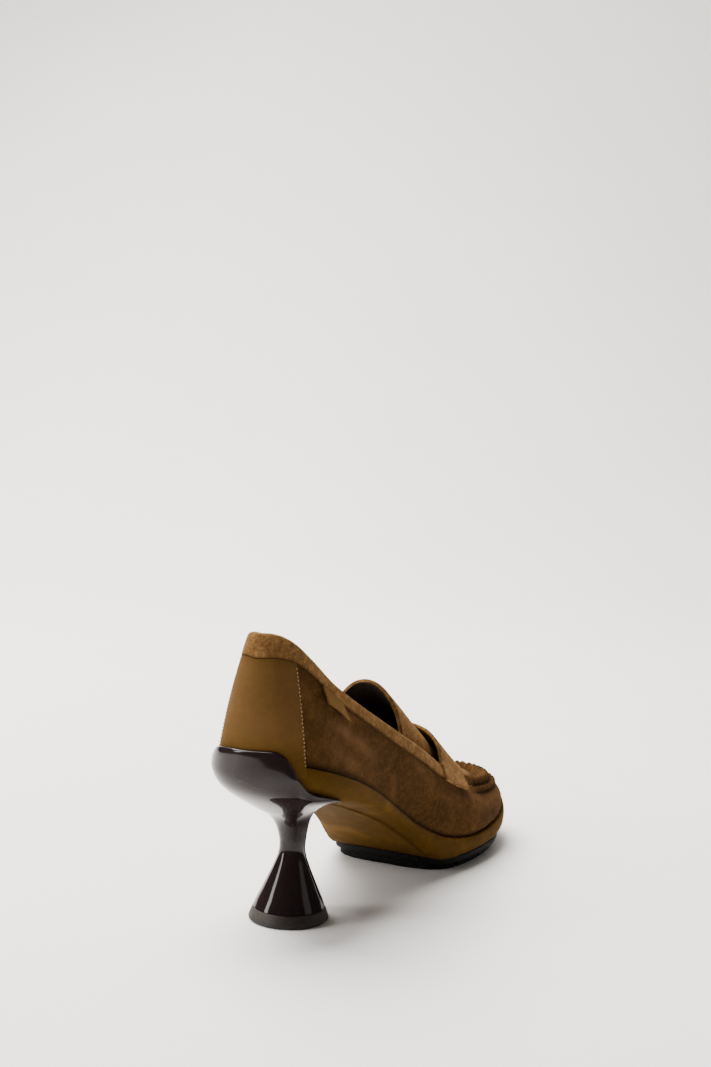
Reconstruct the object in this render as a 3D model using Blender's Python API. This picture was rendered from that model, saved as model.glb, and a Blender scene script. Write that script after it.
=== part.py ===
"""Loafer pump, right shoe, as an assembly of its real pieces.

Frame: +X to the toe, +Y to the inner (medial) side, +Z up. The origin is on the floor,
at the middle of the heel tip. Every size below is in millimetres, and MM turns it into
metres when a mesh is made.

The shape of the last is one ring of sections. Ring position u runs from 0 at the middle
of the back, along the outer side to TOE at the toe, and on along the inner side to
2 * TOE, which is the back again. A wall line climbs from the feather edge (foot) to the
top edge at each u, and v runs up it from 0 to 1.
"""
import math

import bmesh
import bpy
import numpy as np

MM = 0.001
GAP = 0.3

# Sections of the last, a row for each station from back to toe. foot is the feather edge,
# top is the topline behind the strap and the apron seam in front of it. lat and med are
# half widths to the outer and inner side, belly is the bulge of the wall line, and tuck is
# how far the underside draws in from the feather edge.
SECTION_COLUMNS = ("x_foot", "lat_foot", "med_foot", "z_foot",
                   "x_top", "lat_top", "med_top", "z_top", "belly", "tuck")
SECTIONS = (
    (-37.5, 0.0, 0.0, 77.5, -31.4, 0.0, 0.0, 129.2, 2.8, 2.5),
    (-35.8, 9.5, 9.5, 77.2, -30.1, 4.7, 4.6, 129.2, 2.3, 2.5),
    (-31.4, 16.8, 16.8, 76.3, -26.4, 8.2, 7.6, 127.6, 1.6, 2.5),
    (-24.0, 22.2, 21.8, 74.4, -20.6, 11.0, 10.4, 123.8, 0.9, 2.5),
    (-13.0, 26.4, 25.4, 70.6, -12.8, 14.0, 13.4, 116.8, 0.4, 2.8),
    (2.0, 28.4, 26.6, 65.0, -0.4, 17.4, 16.8, 105.9, 0.5, 3.2),
    (20.0, 28.4, 25.4, 57.3, 16.0, 20.6, 20.2, 95.4, 1.0, 3.8),
    (38.0, 27.3, 23.0, 48.5, 34.4, 23.2, 22.8, 85.2, 1.5, 4.4),
    (56.0, 26.4, 21.6, 38.8, 54.0, 25.0, 24.4, 75.0, 2.0, 4.6),
    (74.0, 28.2, 23.4, 28.2, 74.0, 26.2, 25.0, 65.0, 2.6, 4.0),
    (92.0, 33.2, 28.2, 19.6, 94.0, 27.4, 25.6, 53.6, 3.4, 2.6),
    (110.0, 37.4, 33.0, 15.6, 112.0, 28.2, 26.0, 44.2, 4.4, 1.4),
    (128.0, 39.4, 36.2, 15.0, 129.0, 28.4, 26.4, 37.6, 5.0, 1.2),
    (146.0, 38.8, 36.6, 16.0, 145.0, 27.8, 26.2, 34.2, 4.2, 1.2),
    (162.0, 35.4, 34.0, 18.4, 159.0, 25.6, 24.6, 32.6, 3.8, 1.2),
    (176.0, 28.4, 28.2, 21.2, 170.0, 20.8, 20.2, 31.8, 3.5, 1.2),
    (187.0, 18.8, 19.4, 23.0, 176.8, 13.2, 13.0, 31.5, 3.6, 1.2),
    (193.4, 9.4, 10.0, 24.0, 179.6, 6.4, 6.4, 31.3, 3.7, 1.2),
    (195.4, 0.0, 0.0, 24.3, 180.4, 0.0, 0.0, 31.2, 3.8, 1.2),
)
TOE = len(SECTIONS) - 1
RING = 2 * TOE
STEPS = 2                 # mesh stations between two sections
STATIONS = RING * STEPS
SLOPE_STEP = 0.02         # part of a section over which a slope is taken
LENGTH_STEPS = 6
SHARPEST_BEND = 0.6       # stops a wall's normal from growing too long at a sharp bend
# Angles in degrees past which an edge is shown sharp.
EDGE_ANGLE = 40.0
PLATFORM_EDGE_ANGLE = 50.0
OUTSOLE_EDGE_ANGLE = 30.0
HEEL_EDGE_ANGLE = 35.0

# Middle line of tongue and apron, seen from the side.
CREST_COLUMNS = ("x", "z")
CREST = (
    (69.0, 95.8), (80.0, 87.6), (90.0, 79.6), (100.0, 71.4), (106.0, 66.6), (112.0, 61.6),
    (120.0, 54.8), (126.0, 50.2), (132.0, 46.2), (140.0, 42.0), (150.0, 38.6),
    (160.0, 36.4), (170.0, 34.2), (180.4, 31.2),
)

# Underside of the platform, seen from the side.
UNDERSIDE_COLUMNS = ("x", "z")
UNDERSIDE = (
    (-42.0, 66.6), (-20.0, 60.8), (-5.0, 56.6), (10.0, 52.4), (25.0, 47.2), (40.0, 40.7),
    (55.0, 33.0), (65.0, 26.6), (75.0, 19.6), (84.0, 12.9), (90.0, 8.9), (95.0, 6.9),
    (101.0, 6.5), (148.0, 6.5), (160.0, 7.4), (172.0, 9.2), (184.0, 11.6), (200.0, 15.0),
)

# Upper: wall thickness, where the strap lets the opening end, and the rows of the wall.
WALL = 1.8
THROAT = 11
WALL_ROWS = (0.0, 0.18, 0.38, 0.57, 0.74, 0.87, 0.945, 1.0)
APRON_ROWS = (0.0, 0.05, 0.11, 0.2, 0.33, 0.5, 0.67, 0.8, 0.89, 0.95, 1.0)
SEAM_START = 12.0         # ring position where the raised apron seam begins
SEAM_FULL = 12.5
SEAM_HEIGHT = 3.2
SEAM_ON_WALL = {1.0: 1.0, 0.945: 0.8}    # share of the seam's height at rows of the wall
SEAM_ON_APRON = 0.35      # the same at the apron's first row
APRON_ROUND_TO = 12.0     # ring position up to which the apron is round across
APRON_FLAT_AT = 13.5      # and where it has become flat across

# Overlays and bindings
COVER = 1.0               # thickness of the counter panel and the platform's wrapping
PROUD = GAP + COVER
COUNTER_END = 2.6
BAND_END = 10.07
BAND_BACK = 9.6           # height of the collar band at the back and beside the strap
BAND_SIDE = 6.6
BAND_THICK = 1.2
BAND_INNER = 3.0
BAND_TAPER = 1.6          # the band reaches its side height this much before its ends
COUNTER_STATIONS = 17
COUNTER_ROWS = 7
TAB_SPAN = (4.25, 5.4)
TAB_DROP = 6.6
TAB_THICK = 1.0
TAB_FLARE = 1.5
TAB_MIDDLE = 0.86         # share of the drop at the middle of its notched lower edge
TAB_NOTCH = 0.34
TAB_COLUMNS = 7
TAB_ROWS = 4

# Tongue, a row for each section: half width and how far its sides reach below the topline.
TONGUE_COLUMNS = ("x", "half", "base")
TONGUE = ((69.0, 19.6, 65.4), (80.0, 20.8, 59.0), (94.0, 22.2, 51.4), (110.4, 24.2, 43.4))
TONGUE_THICK = 2.0
TONGUE_SHIFT = -1.2
TONGUE_LENGTHS = 12
TONGUE_WIDTHS = 14

# Strap: ring positions of its two edges, how far it reaches down the wall, and its lift.
STRAP_REAR = 10.1
STRAP_FRONT = 11.65
STRAP_BOW = 0.45
STRAP_LENGTHS = 8
STRAP_THICK = 1.8
STRAP_LIFT = 0.5
STRAP_END_LIFT = 0.4
STRAP_REACH = (0.82, 0.91, 1.0)
STRAP_ROWS = (0.03, 0.08, 0.16, 0.27, 0.38, 0.5, 0.62, 0.73, 0.84, 0.92, 0.97)

# Insole and platform
INSOLE_THICK = 3.0
INSOLE_ROOM = 1.1
ACROSS = (0.0, 0.12, 0.3, 0.5, 0.7, 0.88, 1.0)
FLAT_ACROSS = (0.0, 0.25, 0.75, 1.0)
PLATFORM_SIDE_COLUMNS = ("depth", "swell", "tuck_share")
PLATFORM_SIDE = ((0.0, 0.0, 0.0), (0.28, 0.6, 0.0), (0.6, 0.5, 0.08), (0.86, 0.0, 0.4), (1.0, 0.0, 1.0))
ARCH_SAG = 1.2
SAG_END = 87.6            # where the sag has gone, and the length it fades over
SAG_FADE = 20.0

# Outsole: plan of its edge, a row for each section, and its layers.
OUTSOLE_COLUMNS = ("x", "lat", "med")
OUTSOLE = (
    (91.6, 0.0, 0.0), (92.2, 11.5, 11.0), (94.6, 22.6, 20.6), (99.4, 30.8, 27.2), (108.5, 35.9, 31.4),
    (124.0, 38.4, 34.6), (140.0, 38.6, 35.8), (155.0, 36.4, 34.6), (168.0, 31.4, 31.0), (179.0, 24.4, 24.8),
    (187.0, 16.0, 16.8), (191.8, 8.0, 8.6), (193.2, 0.0, 0.0),
)
OUTSOLE_STEPS = 3
OUTSOLE_THICK = 6.2
LAYER_THICK = 2.7
LUG_INSET = 2.0
LUG_TAPER = 0.7
LUG_EDGE = 0.8
REAR_ROLL = 0.8           # how far the lugs lift off the floor at the rear edge
REAR_ROLL_LENGTH = 9.0
FLAT_FROM = 124.0         # the lugs lie on the floor ahead of here, up to the toe spring
GROOVES = (109.0, 131.0, 153.0, 173.0)
GROOVE_WIDTH = 2.0
GROOVE_DEPTH = 2.4
GROOVE_REACH = 60.0       # the cutter's half length and how far it starts below
GROOVE_START = 5.0

# Heel: turned column, bell, and a cup that climbs the back of the shoe. Angles run round
# the heel from the back, plus to the outer side.
HEEL_ANGLES = (0, 8, 15, 20, 25, 30, 35, 40, 45, 50, 57, 64, 71, 79, 85, 90, 95, 102, 112, 122, 133, 145, 157, 169, 180)
TIP_SIDES = 48
TIP_HEIGHT = 5.5
TIP_RADIUS = 17.6
TIP_EDGE = 1.2
TIP_TOP_RADIUS = 15.9
# Turned column: height and radius.
COLUMN = ((TIP_HEIGHT + GAP, 15.8), (8.5, 14.7), (12.0, 13.0), (16.0, 11.2), (20.0, 9.4), (24.0, 7.7),
          (28.0, 6.3), (31.5, 5.7), (35.0, 5.9))
COLUMN_LEAN = 0.055       # how far the column moves to the toe for each millimetre of height
# Bell, from the top of the column out to the cup: share of the way, height at the back and
# height at the two tips.
BELL = ((0.03, 38.6, 38.8), (0.08, 42.4, 43.0), (0.15, 45.6, 46.2), (0.25, 48.2, 48.8), (0.38, 50.8, 51.2),
        (0.53, 54.0, 53.2), (0.67, 57.1, 54.8), (0.8, 60.4, 56.0), (0.9, 63.8, 56.8), (0.965, 67.4, 57.2),
        (1.0, 71.0, 57.4))
CUP_MIDDLE = -8.0
CUP_FRONT = 20.0          # reach of the heel under the platform, ahead of its middle
CUP_BULGE = 1.1           # how much further the cup stands out at its fullest than at its edge
CUP_ROWS = (0.5, 1.0)
CUP_LIP = 0.5
CUP_TOP = 72.0            # middle of the cap before the shoe's space is cut from it
TIP_TURN = 14.0           # degrees past a tip in which the heel draws in under the platform
TIP_STEP = 4.0
SEAT_OVERLAP = 2.5
SEAT_ROWS = (0.3, 0.2, 0.1, 0.04)
# Edge of the cup: its height and how far it stands out of the wall.
CUP_EDGE_COLUMNS = ("angle", "z", "proud")
CUP_EDGE = (
    (-90.0, 58.0, 0.8), (-80.0, 61.6, 2.2), (-70.0, 67.0, 3.3), (-58.0, 74.2, 3.4), (-45.0, 78.8, 3.2),
    (-30.0, 81.2, 2.9), (-15.0, 82.0, 2.8), (0.0, 82.3, 2.8), (15.0, 82.6, 2.8), (21.0, 82.5, 2.8),
    (28.0, 80.9, 2.9), (33.0, 77.3, 3.2), (39.0, 71.0, 3.4), (45.0, 66.6, 3.4), (53.0, 63.9, 3.2),
    (64.0, 62.2, 2.6), (78.0, 60.1, 1.7), (90.0, 58.0, 0.8),
)

# Colours as linear red, green and blue, with roughness.
FINISHES = {
    "upper": ((0.075, 0.038, 0.013), 0.9),
    "counter": ((0.125, 0.072, 0.024), 0.8),
    "collar_band": ((0.14, 0.075, 0.022), 0.9),
    "tab": ((0.10, 0.055, 0.018), 0.85),
    "tongue": ((0.13, 0.075, 0.03), 0.85),
    "strap": ((0.15, 0.085, 0.034), 0.9),
    "insole": ((0.016, 0.013, 0.011), 0.7),
    "platform": ((0.105, 0.055, 0.010), 0.85),
    "outsole": ((0.014, 0.014, 0.015), 0.75),
    "heel": ((0.022, 0.014, 0.015), 0.12),
    "heel_tip": ((0.026, 0.019, 0.016), 0.6),
}


# Curves through a table

def column(table, names, name):
    """One column of a table, by its name."""
    place = names.index(name)
    return np.array([row[place] for row in table], dtype=float)


def smooth_curve(knots, values, x):
    """Value at x of a curve through the table that never overshoots its rows."""
    x = min(max(x, knots[0]), knots[-1])
    row = int(min(np.searchsorted(knots, x, side="right") - 1, len(knots) - 2))
    slopes = np.diff(values) / np.diff(knots)

    def tangent(i):
        if i == 0:
            return slopes[0]
        if i == len(knots) - 1:
            return slopes[-1]
        if slopes[i - 1] * slopes[i] <= 0.0:
            return 0.0
        return 2.0 * slopes[i - 1] * slopes[i] / (slopes[i - 1] + slopes[i])

    width = knots[row + 1] - knots[row]
    t = (x - knots[row]) / width
    return ((1 + 2 * t) * (1 - t) ** 2 * values[row] + t * (1 - t) ** 2 * width * tangent(row)
            + t * t * (3 - 2 * t) * values[row + 1] + t * t * (t - 1) * width * tangent(row + 1))


def table_curve(table, names, name):
    """A function of the table's first column."""
    knots = column(table, names, names[0])
    values = column(table, names, name)
    return lambda x: float(smooth_curve(knots, values, x))


crest = table_curve(CREST, CREST_COLUMNS, "z")
underside = table_curve(UNDERSIDE, UNDERSIDE_COLUMNS, "z")
cup_edge = table_curve(CUP_EDGE, CUP_EDGE_COLUMNS, "z")
cup_proud = table_curve(CUP_EDGE, CUP_EDGE_COLUMNS, "proud")


def closed_ring(plain, lateral, medial):
    """Rows once round the ring: outer side from back to toe, then inner side to the back."""
    if lateral is None:
        return np.concatenate([plain, plain[-2:0:-1]])
    return np.concatenate([-lateral, medial[-2:0:-1]])


def section_ring(name):
    return closed_ring(column(SECTIONS, SECTION_COLUMNS, name), None, None)


def width_ring(lateral, medial):
    return closed_ring(None, column(SECTIONS, SECTION_COLUMNS, lateral), column(SECTIONS, SECTION_COLUMNS, medial))


FOOT = np.stack([section_ring("x_foot"), width_ring("lat_foot", "med_foot"), section_ring("z_foot")], axis=1)
TOP = np.stack([section_ring("x_top"), width_ring("lat_top", "med_top"), section_ring("z_top")], axis=1)
BELLY = section_ring("belly")
TUCK = section_ring("tuck")


def round_ring(rows, u):
    """Catmull-Rom curve through the rows of a closed ring."""
    base = int(math.floor(u))
    t = u - base
    a, b, c, d = (rows[(base + k) % len(rows)] for k in (-1, 0, 1, 2))
    return 0.5 * (2 * b + (c - a) * t + (2 * a - 5 * b + 4 * c - d) * t * t + (3 * b - a - 3 * c + d) * t ** 3)


# The surface of the last

def outward(u):
    """Level direction that points out of the shoe at the feather edge."""
    along = round_ring(FOOT, u + SLOPE_STEP) - round_ring(FOOT, u - SLOPE_STEP)
    side = np.array([along[1], -along[0], 0.0])
    return side / np.linalg.norm(side)


def wall_point(u, v):
    """Point on the outside of the upper's wall."""
    foot = round_ring(FOOT, u)
    top = round_ring(TOP, u)
    bend = (foot + top) / 2 + outward(u) * 2 * round_ring(BELLY, u)
    return foot * (1 - v) ** 2 + bend * 2 * v * (1 - v) + top * v * v


def wall_normal(u, v):
    along = wall_point(u + SLOPE_STEP, v) - wall_point(u - SLOPE_STEP, v)
    up = wall_point(u, min(v + SLOPE_STEP, 1.0)) - wall_point(u, max(v - SLOPE_STEP, 0.0))
    normal = np.cross(along, up)
    return normal / np.linalg.norm(normal)


def wall_length(u):
    points = [wall_point(u, k / LENGTH_STEPS) for k in range(LENGTH_STEPS + 1)]
    return sum(np.linalg.norm(b - a) for a, b in zip(points, points[1:]))


def apron_point(u, t):
    """Point across the shoe between the two top edges at ring position u, t from 0 to 1."""
    near = round_ring(TOP, u)
    far = round_ring(TOP, RING - u)
    point = near * (1 - t) + far * t
    rise = max(crest(point[0]) - point[2], 0.0)
    flat = 1 + min(max((u - APRON_ROUND_TO) / (APRON_FLAT_AT - APRON_ROUND_TO), 0.0), 1.0)
    arch = max(1 - (2 * t - 1) ** 2, 0.0) ** (flat / 2)
    return point + np.array([0.0, 0.0, rise * arch])


# Making meshes

def finish(name):
    colour, roughness = FINISHES[name]
    material = bpy.data.materials.new(name)
    material.use_nodes = True
    shader = material.node_tree.nodes["Principled BSDF"]
    shader.inputs["Base Color"].default_value = (*colour, 1.0)
    shader.inputs["Roughness"].default_value = roughness
    shader.inputs["Metallic"].default_value = 0.0
    return material


def add_object(name, points, faces, crease=EDGE_ANGLE):
    """A named object from points in millimetres."""
    mesh = bpy.data.meshes.new(name)
    mesh.from_pydata([tuple(float(c) * MM for c in point) for point in points], [], faces)
    mesh.validate()
    work = bmesh.new()
    work.from_mesh(mesh)
    bmesh.ops.remove_doubles(work, verts=work.verts, dist=0.00001)
    bmesh.ops.recalc_face_normals(work, faces=work.faces)
    work.to_mesh(mesh)
    work.free()
    mesh.shade_smooth()
    mesh.set_sharp_from_angle(angle=math.radians(crease))
    obj = bpy.data.objects.new(name, mesh)
    bpy.context.scene.collection.objects.link(obj)
    if name in FINISHES:
        obj.data.materials.append(finish(name))
    return obj


def sheet_normals(points, faces):
    """Normals of a sheet at its points, lengthened at a bend so that its wall stays even."""
    total = np.zeros_like(points)
    count = np.zeros(len(points))
    for face in faces:
        corner = points[list(face)]
        normal = np.zeros(3)
        for k in range(1, len(face) - 1):
            normal += np.cross(corner[k] - corner[0], corner[k + 1] - corner[0])
        size = np.linalg.norm(normal)
        if size < 1e-9:
            continue
        for index in face:
            total[index] += normal / size
            count[index] += 1
    mean = total / np.maximum(count, 1)[:, None]
    length = np.linalg.norm(mean, axis=1)
    return mean / np.maximum(length, SHARPEST_BEND)[:, None] ** 2


def shell(name, points, faces, outer, inner):
    """A closed solid from a sheet: outer and inner are offsets along its normals."""
    points = np.array(points, dtype=float)
    normals = sheet_normals(points, faces)
    outside = points + normals * np.array(outer)[:, None]
    inside = points + normals * np.array(inner)[:, None]
    shift = len(points)
    solid = [tuple(face) for face in faces]
    solid += [tuple(index + shift for index in reversed(face)) for face in faces]
    edges = {}
    for face in faces:
        for a, b in zip(face, face[1:] + face[:1]):
            edges[(a, b)] = edges.get((a, b), 0) + 1
    for a, b in edges:
        if (b, a) not in edges:
            solid.append((b, a, a + shift, b + shift))
    return add_object(name, np.concatenate([outside, inside]), solid)


def grid_faces(rows, columns):
    """Faces of a grid stored row by row."""
    faces = []
    for i in range(rows - 1):
        for j in range(columns - 1):
            a = i * columns + j
            faces.append((a, a + columns, a + columns + 1, a + 1))
    return faces


def patch(name, points, rows, columns, outer, inner):
    return shell(name, points, grid_faces(rows, columns), outer, inner)


def slab(name, rings, across, sag=None, crease=EDGE_ANGLE):
    """A solid between rings of STATIONS points, closed above and below by rows across."""
    count = len(rings[0])
    half = count // 2
    points = [point for ring in rings for point in ring]
    faces = []
    for level in range(len(rings) - 1):
        for i in range(count):
            a = level * count + i
            b = level * count + (i + 1) % count
            faces.append((a, b, b + count, a + count))
    for ring, level in ((rings[0], 0), (rings[-1], len(rings) - 1)):
        rows = []
        for k in range(half + 1):
            near = level * count + k
            far = level * count + (count - k) % count
            if near == far:
                rows.append([near] * len(across))
                continue
            row = [near]
            for t in across[1:-1]:
                point = ring[k] * (1 - t) + ring[(count - k) % count] * t
                if sag is not None and level > 0:
                    point = sag(point, t)
                row.append(len(points))
                points.append(point)
            row.append(far)
            rows.append(row)
        for low, high in zip(rows, rows[1:]):
            for j in range(len(across) - 1):
                corners = [low[j], high[j], high[j + 1], low[j + 1]]
                face = [c for n, c in enumerate(corners) if c != corners[n - 1]]
                if len(face) > 2:
                    faces.append(tuple(face))
    return add_object(name, points, faces, crease)


# The sub-parts

def seam_relief(u):
    """Height of the raised apron seam at ring position u."""
    side = min(u, RING - u)
    grow = min(max((side - SEAM_START) / (SEAM_FULL - SEAM_START), 0.0), 1.0)
    return SEAM_HEIGHT * grow


def make_upper():
    """Quarters, vamp and apron in one hollow wall, open at collar and feather edge."""
    points = []
    relief = []
    stations = [i / STEPS for i in range(STATIONS)]
    for u in stations:
        lift = np.array([0.0, 0.0, GAP])
        for v in WALL_ROWS:
            points.append(wall_point(u, v) + lift * (1 - v))
            relief.append(seam_relief(u) * SEAM_ON_WALL.get(v, 0.0))
    rows = len(WALL_ROWS)
    faces = []
    for i in range(STATIONS):
        for j in range(rows - 1):
            a = i * rows + j
            b = ((i + 1) % STATIONS) * rows + j
            faces.append((a, b, b + 1, a + 1))
    beside_seam = (1, len(APRON_ROWS) - 2)
    lines = []
    for k in range(THROAT * STEPS, TOE * STEPS + 1):
        near = k * rows + rows - 1
        far = (STATIONS - k) * rows + rows - 1
        if near == far:
            lines.append([near] * len(APRON_ROWS))
            continue
        line = [near]
        for m, t in enumerate(APRON_ROWS[1:-1], start=1):
            line.append(len(points))
            points.append(apron_point(k / STEPS, t))
            relief.append(seam_relief(k / STEPS) * (SEAM_ON_APRON if m in beside_seam else 0.0))
        line.append(far)
        lines.append(line)
    for low, high in zip(lines, lines[1:]):
        for j in range(len(APRON_ROWS) - 1):
            corners = [low[j], high[j], high[j + 1], low[j + 1]]
            face = [c for n, c in enumerate(corners) if c != corners[n - 1]]
            faces.append(tuple(face))
    return shell("upper", points, faces, relief, [-WALL] * len(points))


def band_height(u):
    """Height of the collar band, more at the back than beside the strap."""
    side = min(u % RING, RING - u % RING)
    share = min(side / BAND_END, 1.0)
    return BAND_BACK + (BAND_SIDE - BAND_BACK) * min(share * BAND_TAPER, 1.0)


def make_collar_band():
    """Binding folded over the topline, from the strap round the back to the strap."""
    points = []
    count = int(BAND_END * 2 * STEPS) + 1
    for i in range(count):
        u = -BAND_END + 2 * BAND_END * i / (count - 1)
        length = wall_length(u)
        low = 1 - band_height(u) / length
        middle = 1 - 0.5 * band_height(u) / length
        inner_low = 1 - BAND_INNER / length
        top = wall_point(u, 1.0)
        normal = wall_normal(u, 1.0)
        up = top - wall_point(u, inner_low)
        up /= np.linalg.norm(up)
        outer = GAP + BAND_THICK
        inner = -WALL - GAP - BAND_THICK
        points += [
            wall_point(u, low) + wall_normal(u, low) * GAP,
            wall_point(u, low) + wall_normal(u, low) * outer,
            wall_point(u, middle) + wall_normal(u, middle) * outer,
            top + normal * outer,
            top + normal * (GAP - WALL) / 2 + up * outer,
            top + normal * inner,
            wall_point(u, inner_low) + normal * inner,
            wall_point(u, inner_low) + normal * (inner + BAND_THICK),
            top + normal * (inner + BAND_THICK) + up * GAP,
            top + normal * GAP + up * GAP,
            wall_point(u, middle) + wall_normal(u, middle) * GAP,
        ]
    rows = 11
    faces = []
    for i in range(count - 1):
        for j in range(rows):
            a = i * rows + j
            b = i * rows + (j + 1) % rows
            faces.append((a, a + rows, b + rows, b))
    faces.append(tuple(range(rows)))
    faces.append(tuple(reversed(range((count - 1) * rows, count * rows))))
    return add_object("collar_band", points, faces)


def make_counter():
    """Panel round the back of the heel, from the feather edge up to the collar band."""
    points = []
    for i in range(COUNTER_STATIONS):
        u = -COUNTER_END + 2 * COUNTER_END * i / (COUNTER_STATIONS - 1)
        top = 1 - (band_height(u) + GAP) / wall_length(u)
        points += [wall_point(u, top * j / (COUNTER_ROWS - 1)) for j in range(COUNTER_ROWS)]
    return patch("counter", points, COUNTER_STATIONS, COUNTER_ROWS, [PROUD] * len(points), [GAP] * len(points))


def make_tab():
    """Small blank loop label, tucked under the collar band and free at its lower edge."""
    points = []
    lift = []
    for i in range(TAB_COLUMNS):
        share = i / (TAB_COLUMNS - 1)
        u = TAB_SPAN[0] + (TAB_SPAN[1] - TAB_SPAN[0]) * share
        length = wall_length(u)
        drop = TAB_DROP * (TAB_MIDDLE + TAB_NOTCH * (2 * share - 1) ** 2)
        for j in range(TAB_ROWS):
            low = 1 - j / (TAB_ROWS - 1)
            points.append(wall_point(u, 1 - (band_height(u) + GAP + drop * low) / length))
            lift.append(GAP + TAB_FLARE * low ** 2 * (1 + share) / 2)
    outer = [value + TAB_THICK for value in lift]
    return patch("tab", points, TAB_COLUMNS, TAB_ROWS, outer, lift)


def make_tongue():
    """Arched sheet from under the strap to its free rear edge, inside the collar."""
    half = table_curve(TONGUE, TONGUE_COLUMNS, "half")
    base = table_curve(TONGUE, TONGUE_COLUMNS, "base")
    start = TONGUE[0][0]
    end = TONGUE[-1][0]
    points = []
    for i in range(TONGUE_LENGTHS + 1):
        x = start + (end - start) * i / TONGUE_LENGTHS
        for j in range(TONGUE_WIDTHS + 1):
            angle = math.pi * j / TONGUE_WIDTHS
            y = TONGUE_SHIFT - half(x) * math.cos(angle)
            z = base(x) + (crest(x) - base(x)) * math.sin(angle)
            points.append(np.array([x, y, z]))
    return patch("tongue", points, TONGUE_LENGTHS + 1, TONGUE_WIDTHS + 1,
                 [0.0] * len(points), [-TONGUE_THICK] * len(points))


def make_strap():
    """Saddle strap over tongue and apron, with cut ends that lie on the wall."""
    points = []
    lift = []
    columns = 2 * (len(STRAP_REACH) - 1) + len(STRAP_ROWS) + 2
    for i in range(STRAP_LENGTHS + 1):
        share = i / STRAP_LENGTHS
        u = STRAP_REAR + (STRAP_FRONT - STRAP_REAR) * share
        side = [wall_point(u, v) for v in STRAP_REACH]
        other = [wall_point(RING - u, v) for v in reversed(STRAP_REACH)]
        over = [apron_point(u + STRAP_BOW * math.sin(math.pi * t), t) for t in STRAP_ROWS]
        points += side + over + other
        stand = GAP + STRAP_LIFT * (1 - share) ** 2
        lift += [GAP + STRAP_END_LIFT] * len(side)
        lift += [stand] * len(STRAP_ROWS)
        lift += [GAP + STRAP_END_LIFT] * len(other)
    outer = [value + STRAP_THICK for value in lift]
    return patch("strap", points, STRAP_LENGTHS + 1, columns, outer, lift)


def platform_rings(grow=0.0):
    """Rings down the side of the platform, larger by grow on every side."""
    rings = []
    for row in PLATFORM_SIDE:
        level = dict(zip(PLATFORM_SIDE_COLUMNS, row))
        depth = level["depth"]
        ring = []
        for i in range(STATIONS):
            u = i / STEPS
            foot = round_ring(FOOT, u)
            offset = PROUD + level["swell"] - level["tuck_share"] * (PROUD + round_ring(TUCK, u)) + grow
            point = foot + outward(u) * offset
            height = foot[2] - underside(point[0])
            point[2] = foot[2] - GAP * (1 - depth) - depth * (height + grow)
            ring.append(point)
        rings.append(ring)
    return rings


def arch_sag(point, t):
    """Underside of the platform: a little lower along its middle, flat on the outsole."""
    fade = min(max((SAG_END - point[0]) / SAG_FADE, 0.0), 1.0)
    low = point.copy()
    low[2] = underside(point[0]) - ARCH_SAG * fade * (1 - (2 * t - 1) ** 2)
    return low


def make_platform():
    return slab("platform", platform_rings(), ACROSS, arch_sag, crease=PLATFORM_EDGE_ANGLE)


def make_insole():
    rings = []
    for level in (INSOLE_THICK, GAP):
        ring = []
        for i in range(STATIONS):
            u = i / STEPS
            share = level / (round_ring(TOP, u)[2] - round_ring(FOOT, u)[2])
            side = outward(u)
            lean = max(float(np.dot(wall_normal(u, share), side)), 0.5)
            point = wall_point(u, share) - side * (WALL / lean + INSOLE_ROOM)
            point[2] = round_ring(FOOT, u)[2] + level
            ring.append(point)
        rings.append(ring)
    return slab("insole", rings, FLAT_ACROSS)


def outsole_ring(inset):
    """Plan of the outsole, drawn in by inset."""
    x = closed_ring(column(OUTSOLE, OUTSOLE_COLUMNS, "x"), None, None)
    y = closed_ring(None, column(OUTSOLE, OUTSOLE_COLUMNS, "lat"), column(OUTSOLE, OUTSOLE_COLUMNS, "med"))
    rows = np.stack([x, y], axis=1)
    ring = []
    for i in range(len(rows) * OUTSOLE_STEPS):
        u = i / OUTSOLE_STEPS
        point = round_ring(rows, u)
        along = round_ring(rows, u + 0.05) - round_ring(rows, u - 0.05)
        side = np.array([along[1], -along[0]]) / np.linalg.norm(along)
        ring.append(point - side * inset)
    return ring


def outsole_level(x, thickness):
    """Height of an outsole layer's lower face under the platform at x."""
    roll = max(1.0 - (x - OUTSOLE[0][0]) / REAR_ROLL_LENGTH, 0.0) ** 2 * REAR_ROLL
    level = underside(x) - GAP - thickness
    if thickness < OUTSOLE_THICK:
        return level
    return max(level, 0.0) if x > FLAT_FROM else roll


def cut(obj, cutter):
    """Take the cutter's space out of an object for good."""
    cutter.hide_render = True
    cutter.display_type = "WIRE"
    modifier = obj.modifiers.new("cut", "BOOLEAN")
    modifier.operation = "DIFFERENCE"
    modifier.solver = "EXACT"
    modifier.object = cutter
    depsgraph = bpy.context.evaluated_depsgraph_get()
    mesh = bpy.data.meshes.new_from_object(obj.evaluated_get(depsgraph))
    obj.modifiers.clear()
    old = obj.data
    obj.data = mesh
    mesh.name = old.name
    bpy.data.objects.remove(cutter)


def make_box(name, low, high):
    points = [np.array([x, y, z]) for x in (low[0], high[0]) for y in (low[1], high[1]) for z in (low[2], high[2])]
    faces = [(0, 1, 3, 2), (4, 6, 7, 5), (0, 4, 5, 1), (2, 3, 7, 6), (0, 2, 6, 4), (1, 5, 7, 3)]
    return add_object(name, points, faces)


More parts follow.
